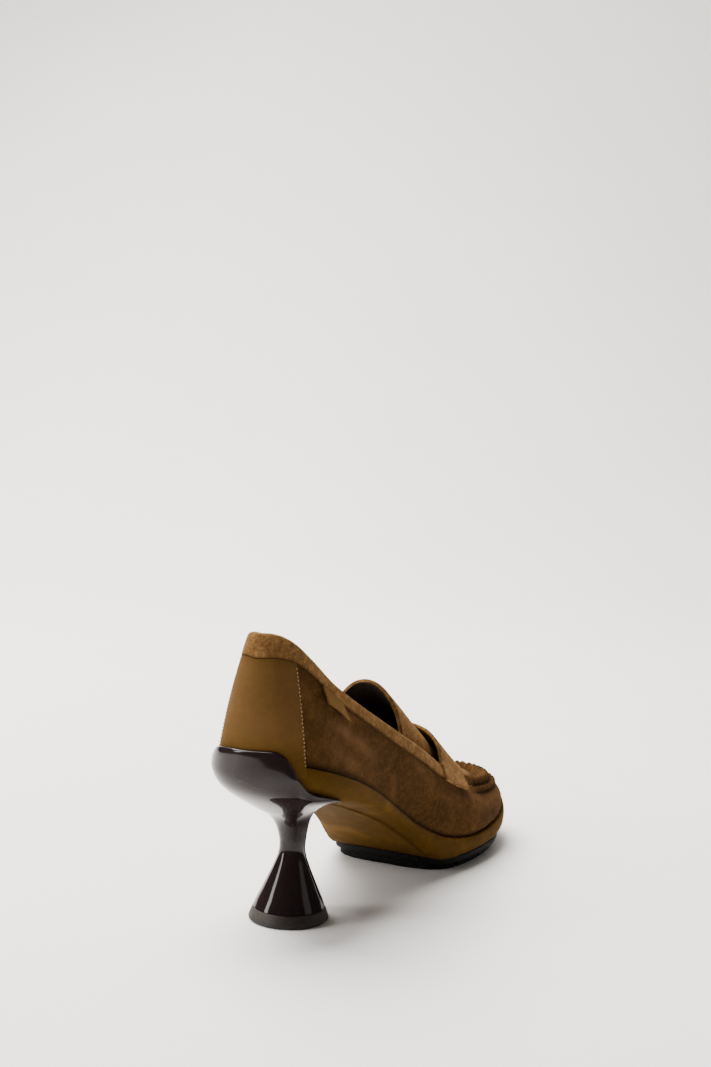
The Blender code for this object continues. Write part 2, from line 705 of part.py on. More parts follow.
def make_outsole():
    """Forefoot unit: a layer under the platform, and lugs set in under it."""
    levels = ((0.0, 0.0), (0.0, LAYER_THICK), (LUG_INSET, LAYER_THICK),
              (LUG_INSET + LUG_TAPER, OUTSOLE_THICK - LUG_EDGE), (LUG_INSET + LUG_TAPER + LUG_EDGE, OUTSOLE_THICK))
    rings = []
    for inset, thickness in levels:
        ring = []
        for x, y in outsole_ring(inset):
            height = outsole_level(x, thickness)
            ring.append(np.array([x, y, height]))
        rings.append(ring)
    outsole = slab("outsole", rings, FLAT_ACROSS, outsole_sag, crease=OUTSOLE_EDGE_ANGLE)
    for number, x in enumerate(GROOVES):
        bottom = outsole_level(x, OUTSOLE_THICK)
        cutter = make_box("groove_%d" % number, (x - GROOVE_WIDTH / 2, -GROOVE_REACH, bottom - GROOVE_START),
                          (x + GROOVE_WIDTH / 2, GROOVE_REACH, bottom + GROOVE_DEPTH))
        cut(outsole, cutter)
    return outsole


def outsole_sag(point, t):
    low = point.copy()
    low[2] = outsole_level(point[0], OUTSOLE_THICK)
    return low


def heel_angles():
    """Angle of each side of the heel's mesh, once round from the front."""
    half = [math.radians(angle) for angle in HEEL_ANGLES]
    return [-angle for angle in reversed(half[1:])] + half[:-1]


def seat_position(angle):
    """Ring position on the back of the shoe at an angle round the middle of the cup."""
    steps = np.linspace(0.0, 6.0, 241)
    sign = 1 if angle >= 0 else -1
    turns = []
    for u in steps:
        point = round_ring(FOOT, sign * u)
        turns.append(math.atan2(abs(point[1]), CUP_MIDDLE - point[0]))
    return sign * float(np.interp(abs(angle), turns, steps))


def cup_outline(angle, proud, v=0.0):
    """Point of the heel's outline: the shoe's own back, and an arc under the platform."""
    if abs(angle) <= math.pi / 2:
        u = seat_position(angle)
        point = wall_point(u, v)
        return point + outward(u) * proud
    edge = cup_outline(math.copysign(math.pi / 2, angle), proud)
    turn = abs(angle) - math.pi / 2
    inset = TIP_STEP * min(turn / math.radians(TIP_TURN), 1.0)
    half = abs(edge[1]) - inset
    return np.array([edge[0] + CUP_FRONT * math.sin(turn), math.copysign(half, edge[1]) * math.cos(turn), edge[2]])


def cup_limit(angle):
    """Top of the heel before it is cut: the cup's edge, and just past the underside."""
    if abs(angle) <= math.pi / 2:
        return cup_edge(math.degrees(angle))
    tip = cup_edge(math.degrees(math.copysign(math.pi / 2, angle)))
    front = underside(CUP_MIDDLE + CUP_FRONT) + SEAT_OVERLAP
    turn = abs(angle) - math.pi / 2
    return tip + (front - tip) * math.sin(turn)


def bell_height(angle, back, tip):
    """Height of a bell row at an angle, between its heights at the back and at the tips."""
    waist = COLUMN[-1][0]
    back_knee = BELL[-1][1]
    tip_knee = BELL[-1][2]
    knee = min(back_knee, cup_limit(angle) - CUP_LIP)
    climb = max((knee - tip_knee) / (back_knee - tip_knee), 0.0)
    squeeze = (min(knee, tip_knee) - waist) / (tip_knee - waist)
    return waist + (tip - waist) * squeeze + (back - tip) * climb


def make_heel():
    """Turned column that opens as a bell into the cup, cut to the shoe that sits in it."""
    angles = heel_angles()
    sides = len(angles)
    rings = []
    for z, radius in COLUMN:
        lean = COLUMN_LEAN * z
        rings.append([np.array([lean - radius * math.cos(a), -radius * math.sin(a), z]) for a in angles])
    waist = COLUMN[-1][1]
    for share, back, tip in BELL:
        ring = []
        for a in angles:
            z = bell_height(a, back, tip)
            start = np.array([COLUMN_LEAN * z - waist * math.cos(a), -waist * math.sin(a), 0.0])
            climb = bell_height(a, 1.0, 0.0) - bell_height(a, 0.0, 0.0)
            outline = cup_outline(a, cup_proud(math.degrees(a)) + CUP_BULGE * climb)
            point = start * (1 - share) + outline * share
            point[2] = z
            ring.append(point)
        rings.append(ring)
    for share in CUP_ROWS:
        ring = []
        for a in angles:
            climb = bell_height(a, 1.0, 0.0) - bell_height(a, 0.0, 0.0)
            low = bell_height(a, BELL[-1][1], BELL[-1][2])
            z = low + (cup_limit(a) - low) * share
            proud = cup_proud(math.degrees(a)) + CUP_BULGE * climb * (1 - share ** 2)
            point = cup_outline(a, proud)
            if abs(a) <= math.pi / 2:
                u = seat_position(a)
                rise = max(z - round_ring(FOOT, u)[2], 0.0) / wall_length(u)
                point = cup_outline(a, proud, rise)
            point[2] = z
            ring.append(point)
        rings.append(ring)
    points = [point for ring in rings for point in ring]
    faces = []
    for level in range(len(rings) - 1):
        for j in range(sides):
            a = level * sides + j
            b = level * sides + (j + 1) % sides
            faces.append((a, b, b + sides, a + sides))
    faces.append(tuple(range(sides)))
    last = (len(rings) - 1) * sides
    middle = len(points)
    points.append(np.array([CUP_MIDDLE, 0.0, CUP_TOP]))
    for j in range(sides):
        faces.append((last + j, last + (j + 1) % sides, middle))
    heel = add_object("heel", points, faces)
    cut(heel, make_seat_cutter())
    heel.data.shade_smooth()
    heel.data.set_sharp_from_angle(angle=math.radians(HEEL_EDGE_ANGLE))
    return heel


def make_seat_cutter():
    """The shoe's back with its clearance: counter wall above, platform below."""
    rings = []
    for v in SEAT_ROWS:
        rings.append([wall_point(i / STEPS, v) + outward(i / STEPS) * (PROUD + GAP) for i in range(STATIONS)])
    rings += platform_rings(GAP)

    def sag(point, t):
        low = arch_sag(point, t)
        low[2] -= GAP
        return low

    return slab("seat_cutter", rings, ACROSS, sag)


def make_heel_tip():
    """Top piece: a thick rubber disc with a rounded foot edge."""
    profile = ((0.0, TIP_RADIUS - TIP_EDGE), (0.35 * TIP_EDGE, TIP_RADIUS - 0.25 * TIP_EDGE),
               (TIP_EDGE, TIP_RADIUS), (TIP_HEIGHT, TIP_TOP_RADIUS))
    points = []
    for z, radius in profile:
        for j in range(TIP_SIDES):
            a = 2 * math.pi * j / TIP_SIDES
            points.append(np.array([COLUMN_LEAN * z + radius * math.cos(a), radius * math.sin(a), z]))
    faces = []
    for level in range(len(profile) - 1):
        for j in range(TIP_SIDES):
            a = level * TIP_SIDES + j
            b = level * TIP_SIDES + (j + 1) % TIP_SIDES
            faces.append((a, b, b + TIP_SIDES, a + TIP_SIDES))
    faces.append(tuple(range(TIP_SIDES)))
    faces.append(tuple(range((len(profile) - 1) * TIP_SIDES, len(profile) * TIP_SIDES)))
    return add_object("heel_tip", points, faces)


def main():
    for obj in list(bpy.data.objects):
        bpy.data.objects.remove(obj)
    make_platform()
    make_insole()
    make_upper()
    make_counter()
    make_collar_band()
    make_tab()
    make_tongue()
    make_strap()
    make_outsole()
    make_heel()
    make_heel_tip()


main()
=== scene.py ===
"""Looks of a suede loafer pump, right shoe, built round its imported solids.

The file is laid out as a Blender add-on and is run as a script. Shapes repeat the part's own
tables, in millimetres, in the part's frame: +X to the toe, +Y to the inner side, +Z up.
Ring position u runs from 0 at the middle of the back, along the outer side to TOE at the
toe, and back along the inner side. v climbs the wall from the feather edge to the top edge.
"""
import math

import bmesh
import bpy
import numpy as np
from bpy.props import FloatProperty, FloatVectorProperty, PointerProperty
from mathutils import Matrix, Vector


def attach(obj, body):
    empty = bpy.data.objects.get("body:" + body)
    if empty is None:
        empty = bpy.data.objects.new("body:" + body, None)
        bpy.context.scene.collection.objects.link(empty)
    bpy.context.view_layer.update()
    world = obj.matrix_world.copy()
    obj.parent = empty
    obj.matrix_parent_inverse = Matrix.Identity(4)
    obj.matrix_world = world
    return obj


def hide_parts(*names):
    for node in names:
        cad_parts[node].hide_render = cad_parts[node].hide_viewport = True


bl_info = {
    "name": "Loafer pump",
    "version": (1, 0, 0),
    "blender": (4, 5, 0),
    "location": "3D View > Sidebar > Pump",
    "description": "Dresses the solids of a suede loafer pump with modelled pieces and finishes",
    "category": "Mesh",
}

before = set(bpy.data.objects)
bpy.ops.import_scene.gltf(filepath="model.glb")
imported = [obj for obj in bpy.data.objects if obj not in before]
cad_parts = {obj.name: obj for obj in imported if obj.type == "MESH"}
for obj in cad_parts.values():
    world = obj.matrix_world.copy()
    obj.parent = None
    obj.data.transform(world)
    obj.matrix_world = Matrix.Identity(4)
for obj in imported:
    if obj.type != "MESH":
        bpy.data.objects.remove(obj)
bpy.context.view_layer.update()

MM = 0.001
GAP = 0.3
STEP_U = 0.02             # half steps for slopes of the wall
STEP_V = 0.01
LENGTH_STEPS = 6

# Sections of the last, a row for each station from back to toe, as in the part.
SECTION_COLUMNS = ("x_foot", "lat_foot", "med_foot", "z_foot",
                   "x_top", "lat_top", "med_top", "z_top", "belly", "tuck")
SECTIONS = (
    (-37.5, 0.0, 0.0, 77.5, -31.4, 0.0, 0.0, 129.2, 2.8, 2.5),
    (-35.8, 9.5, 9.5, 77.2, -30.1, 4.7, 4.6, 129.2, 2.3, 2.5),
    (-31.4, 16.8, 16.8, 76.3, -26.4, 8.2, 7.6, 127.6, 1.6, 2.5),
    (-24.0, 22.2, 21.8, 74.4, -20.6, 11.0, 10.4, 123.8, 0.9, 2.5),
    (-13.0, 26.4, 25.4, 70.6, -12.8, 14.0, 13.4, 116.8, 0.4, 2.8),
    (2.0, 28.4, 26.6, 65.0, -0.4, 17.4, 16.8, 105.9, 0.5, 3.2),
    (20.0, 28.4, 25.4, 57.3, 16.0, 20.6, 20.2, 95.4, 1.0, 3.8),
    (38.0, 27.3, 23.0, 48.5, 34.4, 23.2, 22.8, 85.2, 1.5, 4.4),
    (56.0, 26.4, 21.6, 38.8, 54.0, 25.0, 24.4, 75.0, 2.0, 4.6),
    (74.0, 28.2, 23.4, 28.2, 74.0, 26.2, 25.0, 65.0, 2.6, 4.0),
    (92.0, 33.2, 28.2, 19.6, 94.0, 27.4, 25.6, 53.6, 3.4, 2.6),
    (110.0, 37.4, 33.0, 15.6, 112.0, 28.2, 26.0, 44.2, 4.4, 1.4),
    (128.0, 39.4, 36.2, 15.0, 129.0, 28.4, 26.4, 37.6, 5.0, 1.2),
    (146.0, 38.8, 36.6, 16.0, 145.0, 27.8, 26.2, 34.2, 4.2, 1.2),
    (162.0, 35.4, 34.0, 18.4, 159.0, 25.6, 24.6, 32.6, 3.8, 1.2),
    (176.0, 28.4, 28.2, 21.2, 170.0, 20.8, 20.2, 31.8, 3.5, 1.2),
    (187.0, 18.8, 19.4, 23.0, 176.8, 13.2, 13.0, 31.5, 3.6, 1.2),
    (193.4, 9.4, 10.0, 24.0, 179.6, 6.4, 6.4, 31.3, 3.7, 1.2),
    (195.4, 0.0, 0.0, 24.3, 180.4, 0.0, 0.0, 31.2, 3.8, 1.2),
)
TOE = len(SECTIONS) - 1
RING = 2 * TOE
THROAT = 11               # ring position of the strap's rear, where the opening ends

# Top line over tongue, strap and apron, along the middle of the shoe.
CREST_COLUMNS = ("x", "z")
CREST = (
    (69.0, 95.8), (80.0, 87.6), (90.0, 79.6), (100.0, 71.4), (106.0, 66.6), (112.0, 61.6),
    (120.0, 54.8), (126.0, 50.2), (132.0, 46.2), (140.0, 42.0), (150.0, 38.6),
    (160.0, 36.4), (170.0, 34.2), (180.4, 31.2),
)

# Lower edge of the platform, from the heel seat through the arch to the toe.
UNDERSIDE_COLUMNS = ("x", "z")
UNDERSIDE = (
    (-42.0, 66.6), (-20.0, 60.8), (-5.0, 56.6), (10.0, 52.4), (25.0, 47.2), (40.0, 40.7),
    (55.0, 33.0), (65.0, 26.6), (75.0, 19.6), (84.0, 12.9), (90.0, 8.9), (95.0, 6.9),
    (101.0, 6.5), (148.0, 6.5), (160.0, 7.4), (172.0, 9.2), (184.0, 11.6), (200.0, 15.0),
)

TONGUE_COLUMNS = ("x", "half", "base")
TONGUE = ((69.0, 19.6, 65.4), (80.0, 20.8, 59.0), (94.0, 22.2, 51.4), (110.4, 24.2, 43.4))
TONGUE_SHIFT = -1.2
TONGUE_THICK = 2.0

# Swell of the platform's side down its depth, and its share of the tuck under the foot.
PLATFORM_SIDE_COLUMNS = ("depth", "swell", "tuck_share")
PLATFORM_SIDE = ((0.0, 0.0, 0.0), (0.28, 0.6, 0.0), (0.6, 0.5, 0.08), (0.86, 0.0, 0.4), (1.0, 0.0, 1.0))

# Plan of the outsole: half widths on the outer and the inner side.
OUTSOLE_COLUMNS = ("x", "lat", "med")
OUTSOLE = (
    (91.6, 0.0, 0.0), (92.2, 11.5, 11.0), (94.6, 22.6, 20.6), (99.4, 30.8, 27.2), (108.5, 35.9, 31.4),
    (124.0, 38.4, 34.6), (140.0, 38.6, 35.8), (155.0, 36.4, 34.6), (168.0, 31.4, 31.0), (179.0, 24.4, 24.8),
    (187.0, 16.0, 16.8), (191.8, 8.0, 8.6), (193.2, 0.0, 0.0),
)

# The turned heel: its column, the bell above its waist, and the upper edge of its cup.
COLUMN_COLUMNS = ("z", "radius")
COLUMN = ((5.8, 15.8), (8.5, 14.7), (12.0, 13.0), (16.0, 11.2), (20.0, 9.4), (24.0, 7.7),
          (28.0, 6.3), (31.5, 5.7), (35.0, 5.9))
COLUMN_LEAN = 0.055
BELL_COLUMNS = ("share", "z_back", "z_tip")
BELL = ((0.0, 35.0, 35.0), (0.03, 38.6, 38.8), (0.08, 42.4, 43.0), (0.15, 45.6, 46.2), (0.25, 48.2, 48.8),
        (0.38, 50.8, 51.2), (0.53, 54.0, 53.2), (0.67, 57.1, 54.8), (0.8, 60.4, 56.0), (0.9, 63.8, 56.8),
        (0.965, 67.4, 57.2), (1.0, 71.0, 57.4))
WAIST = BELL[0][1]
KNEE_BACK, KNEE_TIP = BELL[-1][1:]
CUP_EDGE_COLUMNS = ("angle", "z", "proud")
CUP_EDGE = (
    (-90.0, 58.0, 0.8), (-80.0, 61.6, 2.2), (-70.0, 67.0, 3.3), (-58.0, 74.2, 3.4), (-45.0, 78.8, 3.2),
    (-30.0, 81.2, 2.9), (-15.0, 82.0, 2.8), (0.0, 82.3, 2.8), (15.0, 82.6, 2.8), (21.0, 82.5, 2.8),
    (28.0, 80.9, 2.9), (33.0, 77.3, 3.2), (39.0, 71.0, 3.4), (45.0, 66.6, 3.4), (53.0, 63.9, 3.2),
    (64.0, 62.2, 2.6), (78.0, 60.1, 1.7), (90.0, 58.0, 0.8),
)

# Sizes of the pieces, in millimetres, or in ring positions for places round the shoe
WALL = 1.8
PROUD = 1.3               # how far counter and platform stand out of the wall
SEAM_RISE = 11.7          # where the gathered seam begins to stand up, from the back
SEAM_START = 12.0
SEAM_FULL = 12.5
APRON_FLATTEN = 1.5       # ring positions over which the apron grows flat
COUNTER_END = 2.6
COUNTER_OVER = 0.06       # keeps the panel's face just over the solid's
COUNTER_THICK = 1.05
COUNTER_DARK = 0.75       # tone of its foot, where it meets the platform
COUNTER_APRON = ((0.42, -0.35), (0.34, 0.02), (0.22, 0.06), (0.1, 0.06))       # depth down the side, and stand
BAND_END = 10.07
BAND_BACK = 9.6
BAND_SIDE = 6.6
BAND_TAPER = 1.6
BAND_THICK = 1.2
BAND_INNER = 3.0
BAND_PLUMP = 0.12
BAND_CROWN = 0.3
BAND_SUNK = 0.6           # how far the crown's ends sit under the topline
BAND_EDGE_SHADE = (1.0, 0.9, 0.35)                       # painted shade: a dark line at its lower edge, where it stands off the counter
STRAP_REAR = 10.1
STRAP_FRONT = 11.65
STRAP_BOW = 0.45
STRAP_THICK = 1.8
STRAP_REACH = 0.2         # share of the wall that its cut ends come down over
STRAP_END_TAPER = 0.16
STRAP_END_LIFT = 0.4
STRAP_STAND = 0.15        # how far its rear edge stands off the tongue
TAB_SPAN = (4.25, 5.4)
TAB_DROP = 6.6
TAB_NOTCH = 0.2
TAB_TUCKED = 1.5          # what lies hidden under the binding
TAB_STAND = 1.5           # how far its lower corner stands off the wall
TAB_THICK = 1.0
SOCK_LEVELS = ((0.5, 1.1), (2.4, 1.1), (3.0, 1.5))       # height over the feather edge, room to the lining
SOCK_HOLLOW = 0.7
SOCK_MIDDLE = -8.0
SOCK_RUN = 24.0
OUTSOLE_THICK = 6.2
LAYER_THICK = 2.7
LUG_INSET = 2.0
LUG_TAPER = 0.7
REAR_ROLL = 9.0
REAR_ROLL_HIGH = 0.8
TREAD_FLAT_TO = 124.0
GROOVES = (109.0, 131.0, 153.0, 173.0)
GROOVE_WIDTH = 2.0
ARCH_SWELL = 1.2          # how far the platform's underside swells in its middle, through the arch
ARCH_END = 87.6
ARCH_FADE = 20.0
CUP_MIDDLE = -8.0
CUP_FRONT = 20.0
CUP_BULGE = 1.1
CUP_LIP = 0.9
CUP_DRAWN_IN = 4.0
CUP_DRAW_TURN = math.radians(14.0)
CUP_OVERLAP = 2.5
TIP_HEIGHT = 5.5
TIP_RADIUS = 17.6
TIP_TOP_RADIUS = 15.9
TIP_ROUND = 1.2


# What a user may change

class PumpSizes(bpy.types.PropertyGroup):
    """Sizes of the shoe's dressing, in millimetres."""
    seam_roll: FloatProperty(name="Seam roll", description="How far the apron's rolled seam stands up",
                             default=2.6, min=1.0, max=6.0)
    seam_pleat: FloatProperty(name="Seam pleat", description="Depth of the gathers along the seam",
                              default=0.6, min=0.0, max=1.5)
    pleat_pitch: FloatProperty(name="Pleat pitch", description="Distance from one gather to the next",
                               default=3.6, min=2.0, max=8.0)
    stitch_pitch: FloatProperty(name="Stitch pitch", description="Distance between stitches of the counter's seams",
                                default=1.6, min=1.0, max=5.0)
    stitch_radius: FloatProperty(name="Thread radius", description="Half the thickness of the sewing thread",
                                 default=0.28, min=0.1, max=0.6)
    crease_depth: FloatProperty(name="Crease depth", description="Scale of the soft troughs in the suede",
                                default=1.0, min=0.0, max=3.0)


class PumpColours(bpy.types.PropertyGroup):
    """Colours of the shoe's finishes."""
    suede: FloatVectorProperty(name="Suede", description="Suede where the nap lies flat", subtype="COLOR",
                               size=3, default=(0.032, 0.0140, 0.0031), min=0.0, max=1.0)
    suede_light: FloatVectorProperty(name="Brushed suede", description="Suede where the nap stands up",
                                     subtype="COLOR", size=3, default=(0.104, 0.050, 0.0150), min=0.0, max=1.0)
    binding: FloatVectorProperty(name="Binding suede", description="Suede of collar, strap and tongue",
                                 subtype="COLOR", size=3, default=(0.074, 0.033, 0.0085), min=0.0, max=1.0)
    binding_light: FloatVectorProperty(name="Brushed binding", description="Binding suede where brushed",
                                       subtype="COLOR", size=3, default=(0.25, 0.137, 0.050), min=0.0, max=1.0)
    nubuck: FloatVectorProperty(name="Nubuck", description="Smooth nubuck of the counter", subtype="COLOR",
                                size=3, default=(0.088, 0.046, 0.0135), min=0.0, max=1.0)
    rand: FloatVectorProperty(name="Rand", description="Nubuck round the platform", subtype="COLOR",
                              size=3, default=(0.064, 0.031, 0.0030), min=0.0, max=1.0)
    thread: FloatVectorProperty(name="Thread", description="Sewing thread", subtype="COLOR",
                                size=3, default=(0.30, 0.19, 0.085), min=0.0, max=1.0)
    lining: FloatVectorProperty(name="Lining", description="Lining leather", subtype="COLOR",
                                size=3, default=(0.03, 0.020, 0.015), min=0.0, max=1.0)
    heel: FloatVectorProperty(name="Heel", description="Gloss finish of the heel", subtype="COLOR",
                              size=3, default=(0.012, 0.0072, 0.0075), min=0.0, max=1.0)
    rubber: FloatVectorProperty(name="Rubber", description="Outsole rubber", subtype="COLOR",
                                size=3, default=(0.003, 0.0028, 0.0028), min=0.0, max=1.0)
    tip: FloatVectorProperty(name="Heel tip", description="Rubber of the heel tip", subtype="COLOR",
                             size=3, default=(0.020, 0.015, 0.012), min=0.0, max=1.0)
    floor: FloatVectorProperty(name="Floor", description="Studio floor", subtype="COLOR",
                               size=3, default=(0.88, 0.87, 0.855), min=0.0, max=1.0)


# Curves through the tables

def column(table, names, name):
    """One column of a table, by its name."""
    place = names.index(name)
    return np.array([row[place] for row in table], dtype=float)


def curve_through(knots, values):
    """A curve through a table that never overshoots its rows, as a function of arrays."""
    slopes = np.diff(values) / np.diff(knots)
    before, after = slopes[:-1], slopes[1:]
    product = before * after
    inner = np.where(product > 0, 2 * product / np.where(product > 0, before + after, 1.0), 0.0)
    tangents = np.concatenate([slopes[:1], inner, slopes[-1:]])

    def value(x):
        x = np.clip(np.asarray(x, dtype=float), knots[0], knots[-1])
        row = np.clip(np.searchsorted(knots, x, side="right") - 1, 0, len(knots) - 2)
        width = knots[row + 1] - knots[row]
        t = (x - knots[row]) / width
        return ((1 + 2 * t) * (1 - t) ** 2 * values[row] + t * (1 - t) ** 2 * width * tangents[row]
                + t * t * (3 - 2 * t) * values[row + 1] + t * t * (t - 1) * width * tangents[row + 1])

    return value


def table_curve(table, names, name):
    """A curve of one column of a table over its first column."""
    return curve_through(column(table, names, names[0]), column(table, names, name))


crest = table_curve(CREST, CREST_COLUMNS, "z")
underside = table_curve(UNDERSIDE, UNDERSIDE_COLUMNS, "z")
tongue_half = table_curve(TONGUE, TONGUE_COLUMNS, "half")
tongue_base = table_curve(TONGUE, TONGUE_COLUMNS, "base")
side_swell = table_curve(PLATFORM_SIDE, PLATFORM_SIDE_COLUMNS, "swell")
side_tuck = table_curve(PLATFORM_SIDE, PLATFORM_SIDE_COLUMNS, "tuck_share")
column_radius = table_curve(COLUMN, COLUMN_COLUMNS, "radius")
bell_back = table_curve(BELL, BELL_COLUMNS, "z_back")
bell_tip = table_curve(BELL, BELL_COLUMNS, "z_tip")
cup_edge = table_curve(CUP_EDGE, CUP_EDGE_COLUMNS, "z")
cup_proud = table_curve(CUP_EDGE, CUP_EDGE_COLUMNS, "proud")


def closed_ring(values, mirrored=None):
    """Rows once round: the outer side from back to toe, then the inner side to the back."""
    if mirrored is None:
        return np.concatenate([values, values[-2:0:-1]])
    return np.concatenate([-values, mirrored[-2:0:-1]])


def section(name):
    """One column of the sections of the last."""
    return column(SECTIONS, SECTION_COLUMNS, name)


FOOT = np.stack([closed_ring(section("x_foot")), closed_ring(section("lat_foot"), section("med_foot")),
                 closed_ring(section("z_foot"))], axis=1)
TOP = np.stack([closed_ring(section("x_top")), closed_ring(section("lat_top"), section("med_top")),
                closed_ring(section("z_top"))], axis=1)
BELLY = closed_ring(section("belly"))
TUCK = closed_ring(section("tuck"))


def round_ring(rows, u):
    """Smooth closed curve through the rows of a ring, at an array of ring positions."""
    u = np.asarray(u, dtype=float)
    base = np.floor(u).astype(int)
    t = u - base
    if rows.ndim == 2:
        t = t[..., None]
    a, b, c, d = (rows[(base + k) % len(rows)] for k in (-1, 0, 1, 2))
    return 0.5 * (2 * b + (c - a) * t + (2 * a - 5 * b + 4 * c - d) * t * t + (3 * b - a - 3 * c + d) * t ** 3)


def outward(u):
    """Level direction out of the shoe at the feather edge."""
    u = np.asarray(u, dtype=float)
    along = round_ring(FOOT, u + STEP_U) - round_ring(FOOT, u - STEP_U)
    side = np.stack([along[..., 1], -along[..., 0], np.zeros_like(u)], axis=-1)
    return side / np.linalg.norm(side, axis=-1, keepdims=True)


def wall_point(u, v):
    """Outside of the upper's wall, at arrays of ring positions and heights."""
    u, v = np.broadcast_arrays(np.asarray(u, dtype=float), np.asarray(v, dtype=float))
    foot = round_ring(FOOT, u)
    top = round_ring(TOP, u)
    bend = (foot + top) / 2 + outward(u) * 2 * round_ring(BELLY, u)[..., None]
    v = v[..., None]
    return foot * (1 - v) ** 2 + bend * 2 * v * (1 - v) + top * v * v


def wall_normal(u, v):
    """Direction out of the shoe, square to the wall."""
    u, v = np.broadcast_arrays(np.asarray(u, dtype=float), np.asarray(v, dtype=float))
    along = wall_point(u + STEP_U, v) - wall_point(u - STEP_U, v)
    up = wall_point(u, np.minimum(v + STEP_V, 1.0)) - wall_point(u, np.maximum(v - STEP_V, 0.0))
    normal = np.cross(along, up)
    return normal / np.linalg.norm(normal, axis=-1, keepdims=True)


def wall_length(u):
    """Length up the wall from the feather edge to the top edge."""
    u = np.asarray(u, dtype=float)
    points = [wall_point(u, k / LENGTH_STEPS) for k in range(LENGTH_STEPS + 1)]
    return sum(np.linalg.norm(b - a, axis=-1) for a, b in zip(points, points[1:]))


def from_back(u):
    """Ring positions away from the middle of the back, on either side."""
    return np.minimum(u, RING - u)


def dome(t):
    """0 at both edges and 1 in the middle of a span."""
    return 1 - (2 * t - 1) ** 2


def apron_point(u, t):
    """Across the shoe between the two top edges at ring position u, t from 0 to 1."""
    u, t = np.broadcast_arrays(np.asarray(u, dtype=float), np.asarray(t, dtype=float))
    point = round_ring(TOP, u) * (1 - t)[..., None] + round_ring(TOP, RING - u) * t[..., None]
    rise = np.maximum(crest(point[..., 0]) - point[..., 2], 0.0)
    flat = 1 + np.clip((u - SEAM_START) / APRON_FLATTEN, 0.0, 1.0)
    arch = np.maximum(dome(t), 0.0) ** (flat / 2)
    return point + np.stack([np.zeros_like(rise), np.zeros_like(rise), rise * arch], axis=-1)


def ease(low, high, x):
    """0 below low, 1 above high, smooth between."""
    t = np.clip((np.asarray(x, dtype=float) - low) / (high - low), 0.0, 1.0)
    return t * t * (3 - 2 * t)


def bump(x, middle, width):
    """1 in the middle, falling away smoothly on both sides."""
    return np.exp(-((np.asarray(x, dtype=float) - middle) / width) ** 2)


def seam_share(u):
    """0 where the seam is plain, behind the strap, and 1 where it is gathered."""
    return ease(SEAM_RISE, SEAM_FULL, from_back(u))


# Making meshes

MERGE = 0.000002          # metres, as Blender's mesh tools take them
SHORTEST_EDGE = 0.0000005
SHARPEST_BEND = 0.6       # smallest length of a mean normal that a wall's thickness follows


def grid_faces(rows, columns, start=0, closed=False):
    """Faces of a grid stored row by row; closed joins the last row to the first."""
    faces = []
    for i in range(rows if closed else rows - 1):
        for j in range(columns - 1):
            a = start + i * columns + j
            b = start + ((i + 1) % rows) * columns + j
            faces.append((a, b, b + 1, a + 1))
    return faces


def ring_faces(levels, count, start=0):
    """Faces between closed rings of points, stored ring by ring."""
    faces = []
    for level in range(levels - 1):
        for i in range(count):
            a = start + level * count + i
            b = start + level * count + (i + 1) % count
            faces.append((a, b, b + count, a + count))
    return faces


def row_faces(rows):
    """Faces between rows of point numbers; rows may share points at their ends."""
    faces = []
    for low, high in zip(rows, rows[1:]):
        for j in range(len(low) - 1):
            face = tuple(dict.fromkeys((low[j], high[j], high[j + 1], low[j + 1])))
            if len(face) > 2:
                faces.append(face)
    return faces


def close_ring(points, faces, first, count, shares, height=None):
    """Closes a ring with rows of faces across it; height gives the level of a point between."""
    rows = []
    for k in range(count // 2 + 1):
        near, far = first + k, first + (count - k) % count
        row = [near]
        for t in shares[1:-1]:
            if near == far:
                row.append(near)
                continue
            point = points[near] * (1 - t) + points[far] * t
            if height:
                point[2] = height(point, t)
            row.append(len(points))
            points.append(point)
        rows.append(row + [far])
    faces.extend(row_faces(rows))


def sheet_normals(points, faces):
    """Normals of a sheet at its points, lengthened at a bend so that a wall stays even."""
    quads = np.array([face if len(face) == 4 else face + face[-1:] for face in faces])
    corner = points[quads]
    normal = np.cross(corner[:, 2] - corner[:, 0], corner[:, 3] - corner[:, 1])
    size = np.linalg.norm(normal, axis=1)
    good = size > 1e-9
    unit = normal[good] / size[good, None]
    total = np.zeros_like(points)
    count = np.zeros(len(points))
    for k in range(4):
        np.add.at(total, quads[good, k], unit)
        np.add.at(count, quads[good, k], 1)
    mean = total / np.maximum(count, 1)[:, None]
    length = np.linalg.norm(mean, axis=1)
    return mean / np.maximum(length, SHARPEST_BEND)[:, None] ** 2


def make_piece(name, points, faces, materials, crease=45.0, slots=None, tone=None):
    """A named object from points in millimetres, with a material number for each face."""
    mesh = bpy.data.meshes.new(name)
    mesh.from_pydata((np.asarray(points) * MM).tolist(), [], [tuple(dict.fromkeys(face)) for face in faces])
    for material in materials:
        mesh.materials.append(material)
    if slots is not None:
        mesh.polygons.foreach_set("material_index", slots)
    if tone is not None:
        mesh.attributes.new("tone", "FLOAT", "POINT").data.foreach_set("value", np.asarray(tone, dtype=np.float32))
    work = bmesh.new()
    work.from_mesh(mesh)
    bmesh.ops.remove_doubles(work, verts=work.verts, dist=MERGE)
    bmesh.ops.dissolve_degenerate(work, edges=work.edges, dist=SHORTEST_EDGE)
    bmesh.ops.recalc_face_normals(work, faces=work.faces)
    work.to_mesh(mesh)
    work.free()
    mesh.shade_smooth()
    mesh.set_sharp_from_angle(angle=math.radians(crease))
    obj = bpy.data.objects.new(name, mesh)
    bpy.context.scene.collection.objects.link(obj)
    return obj


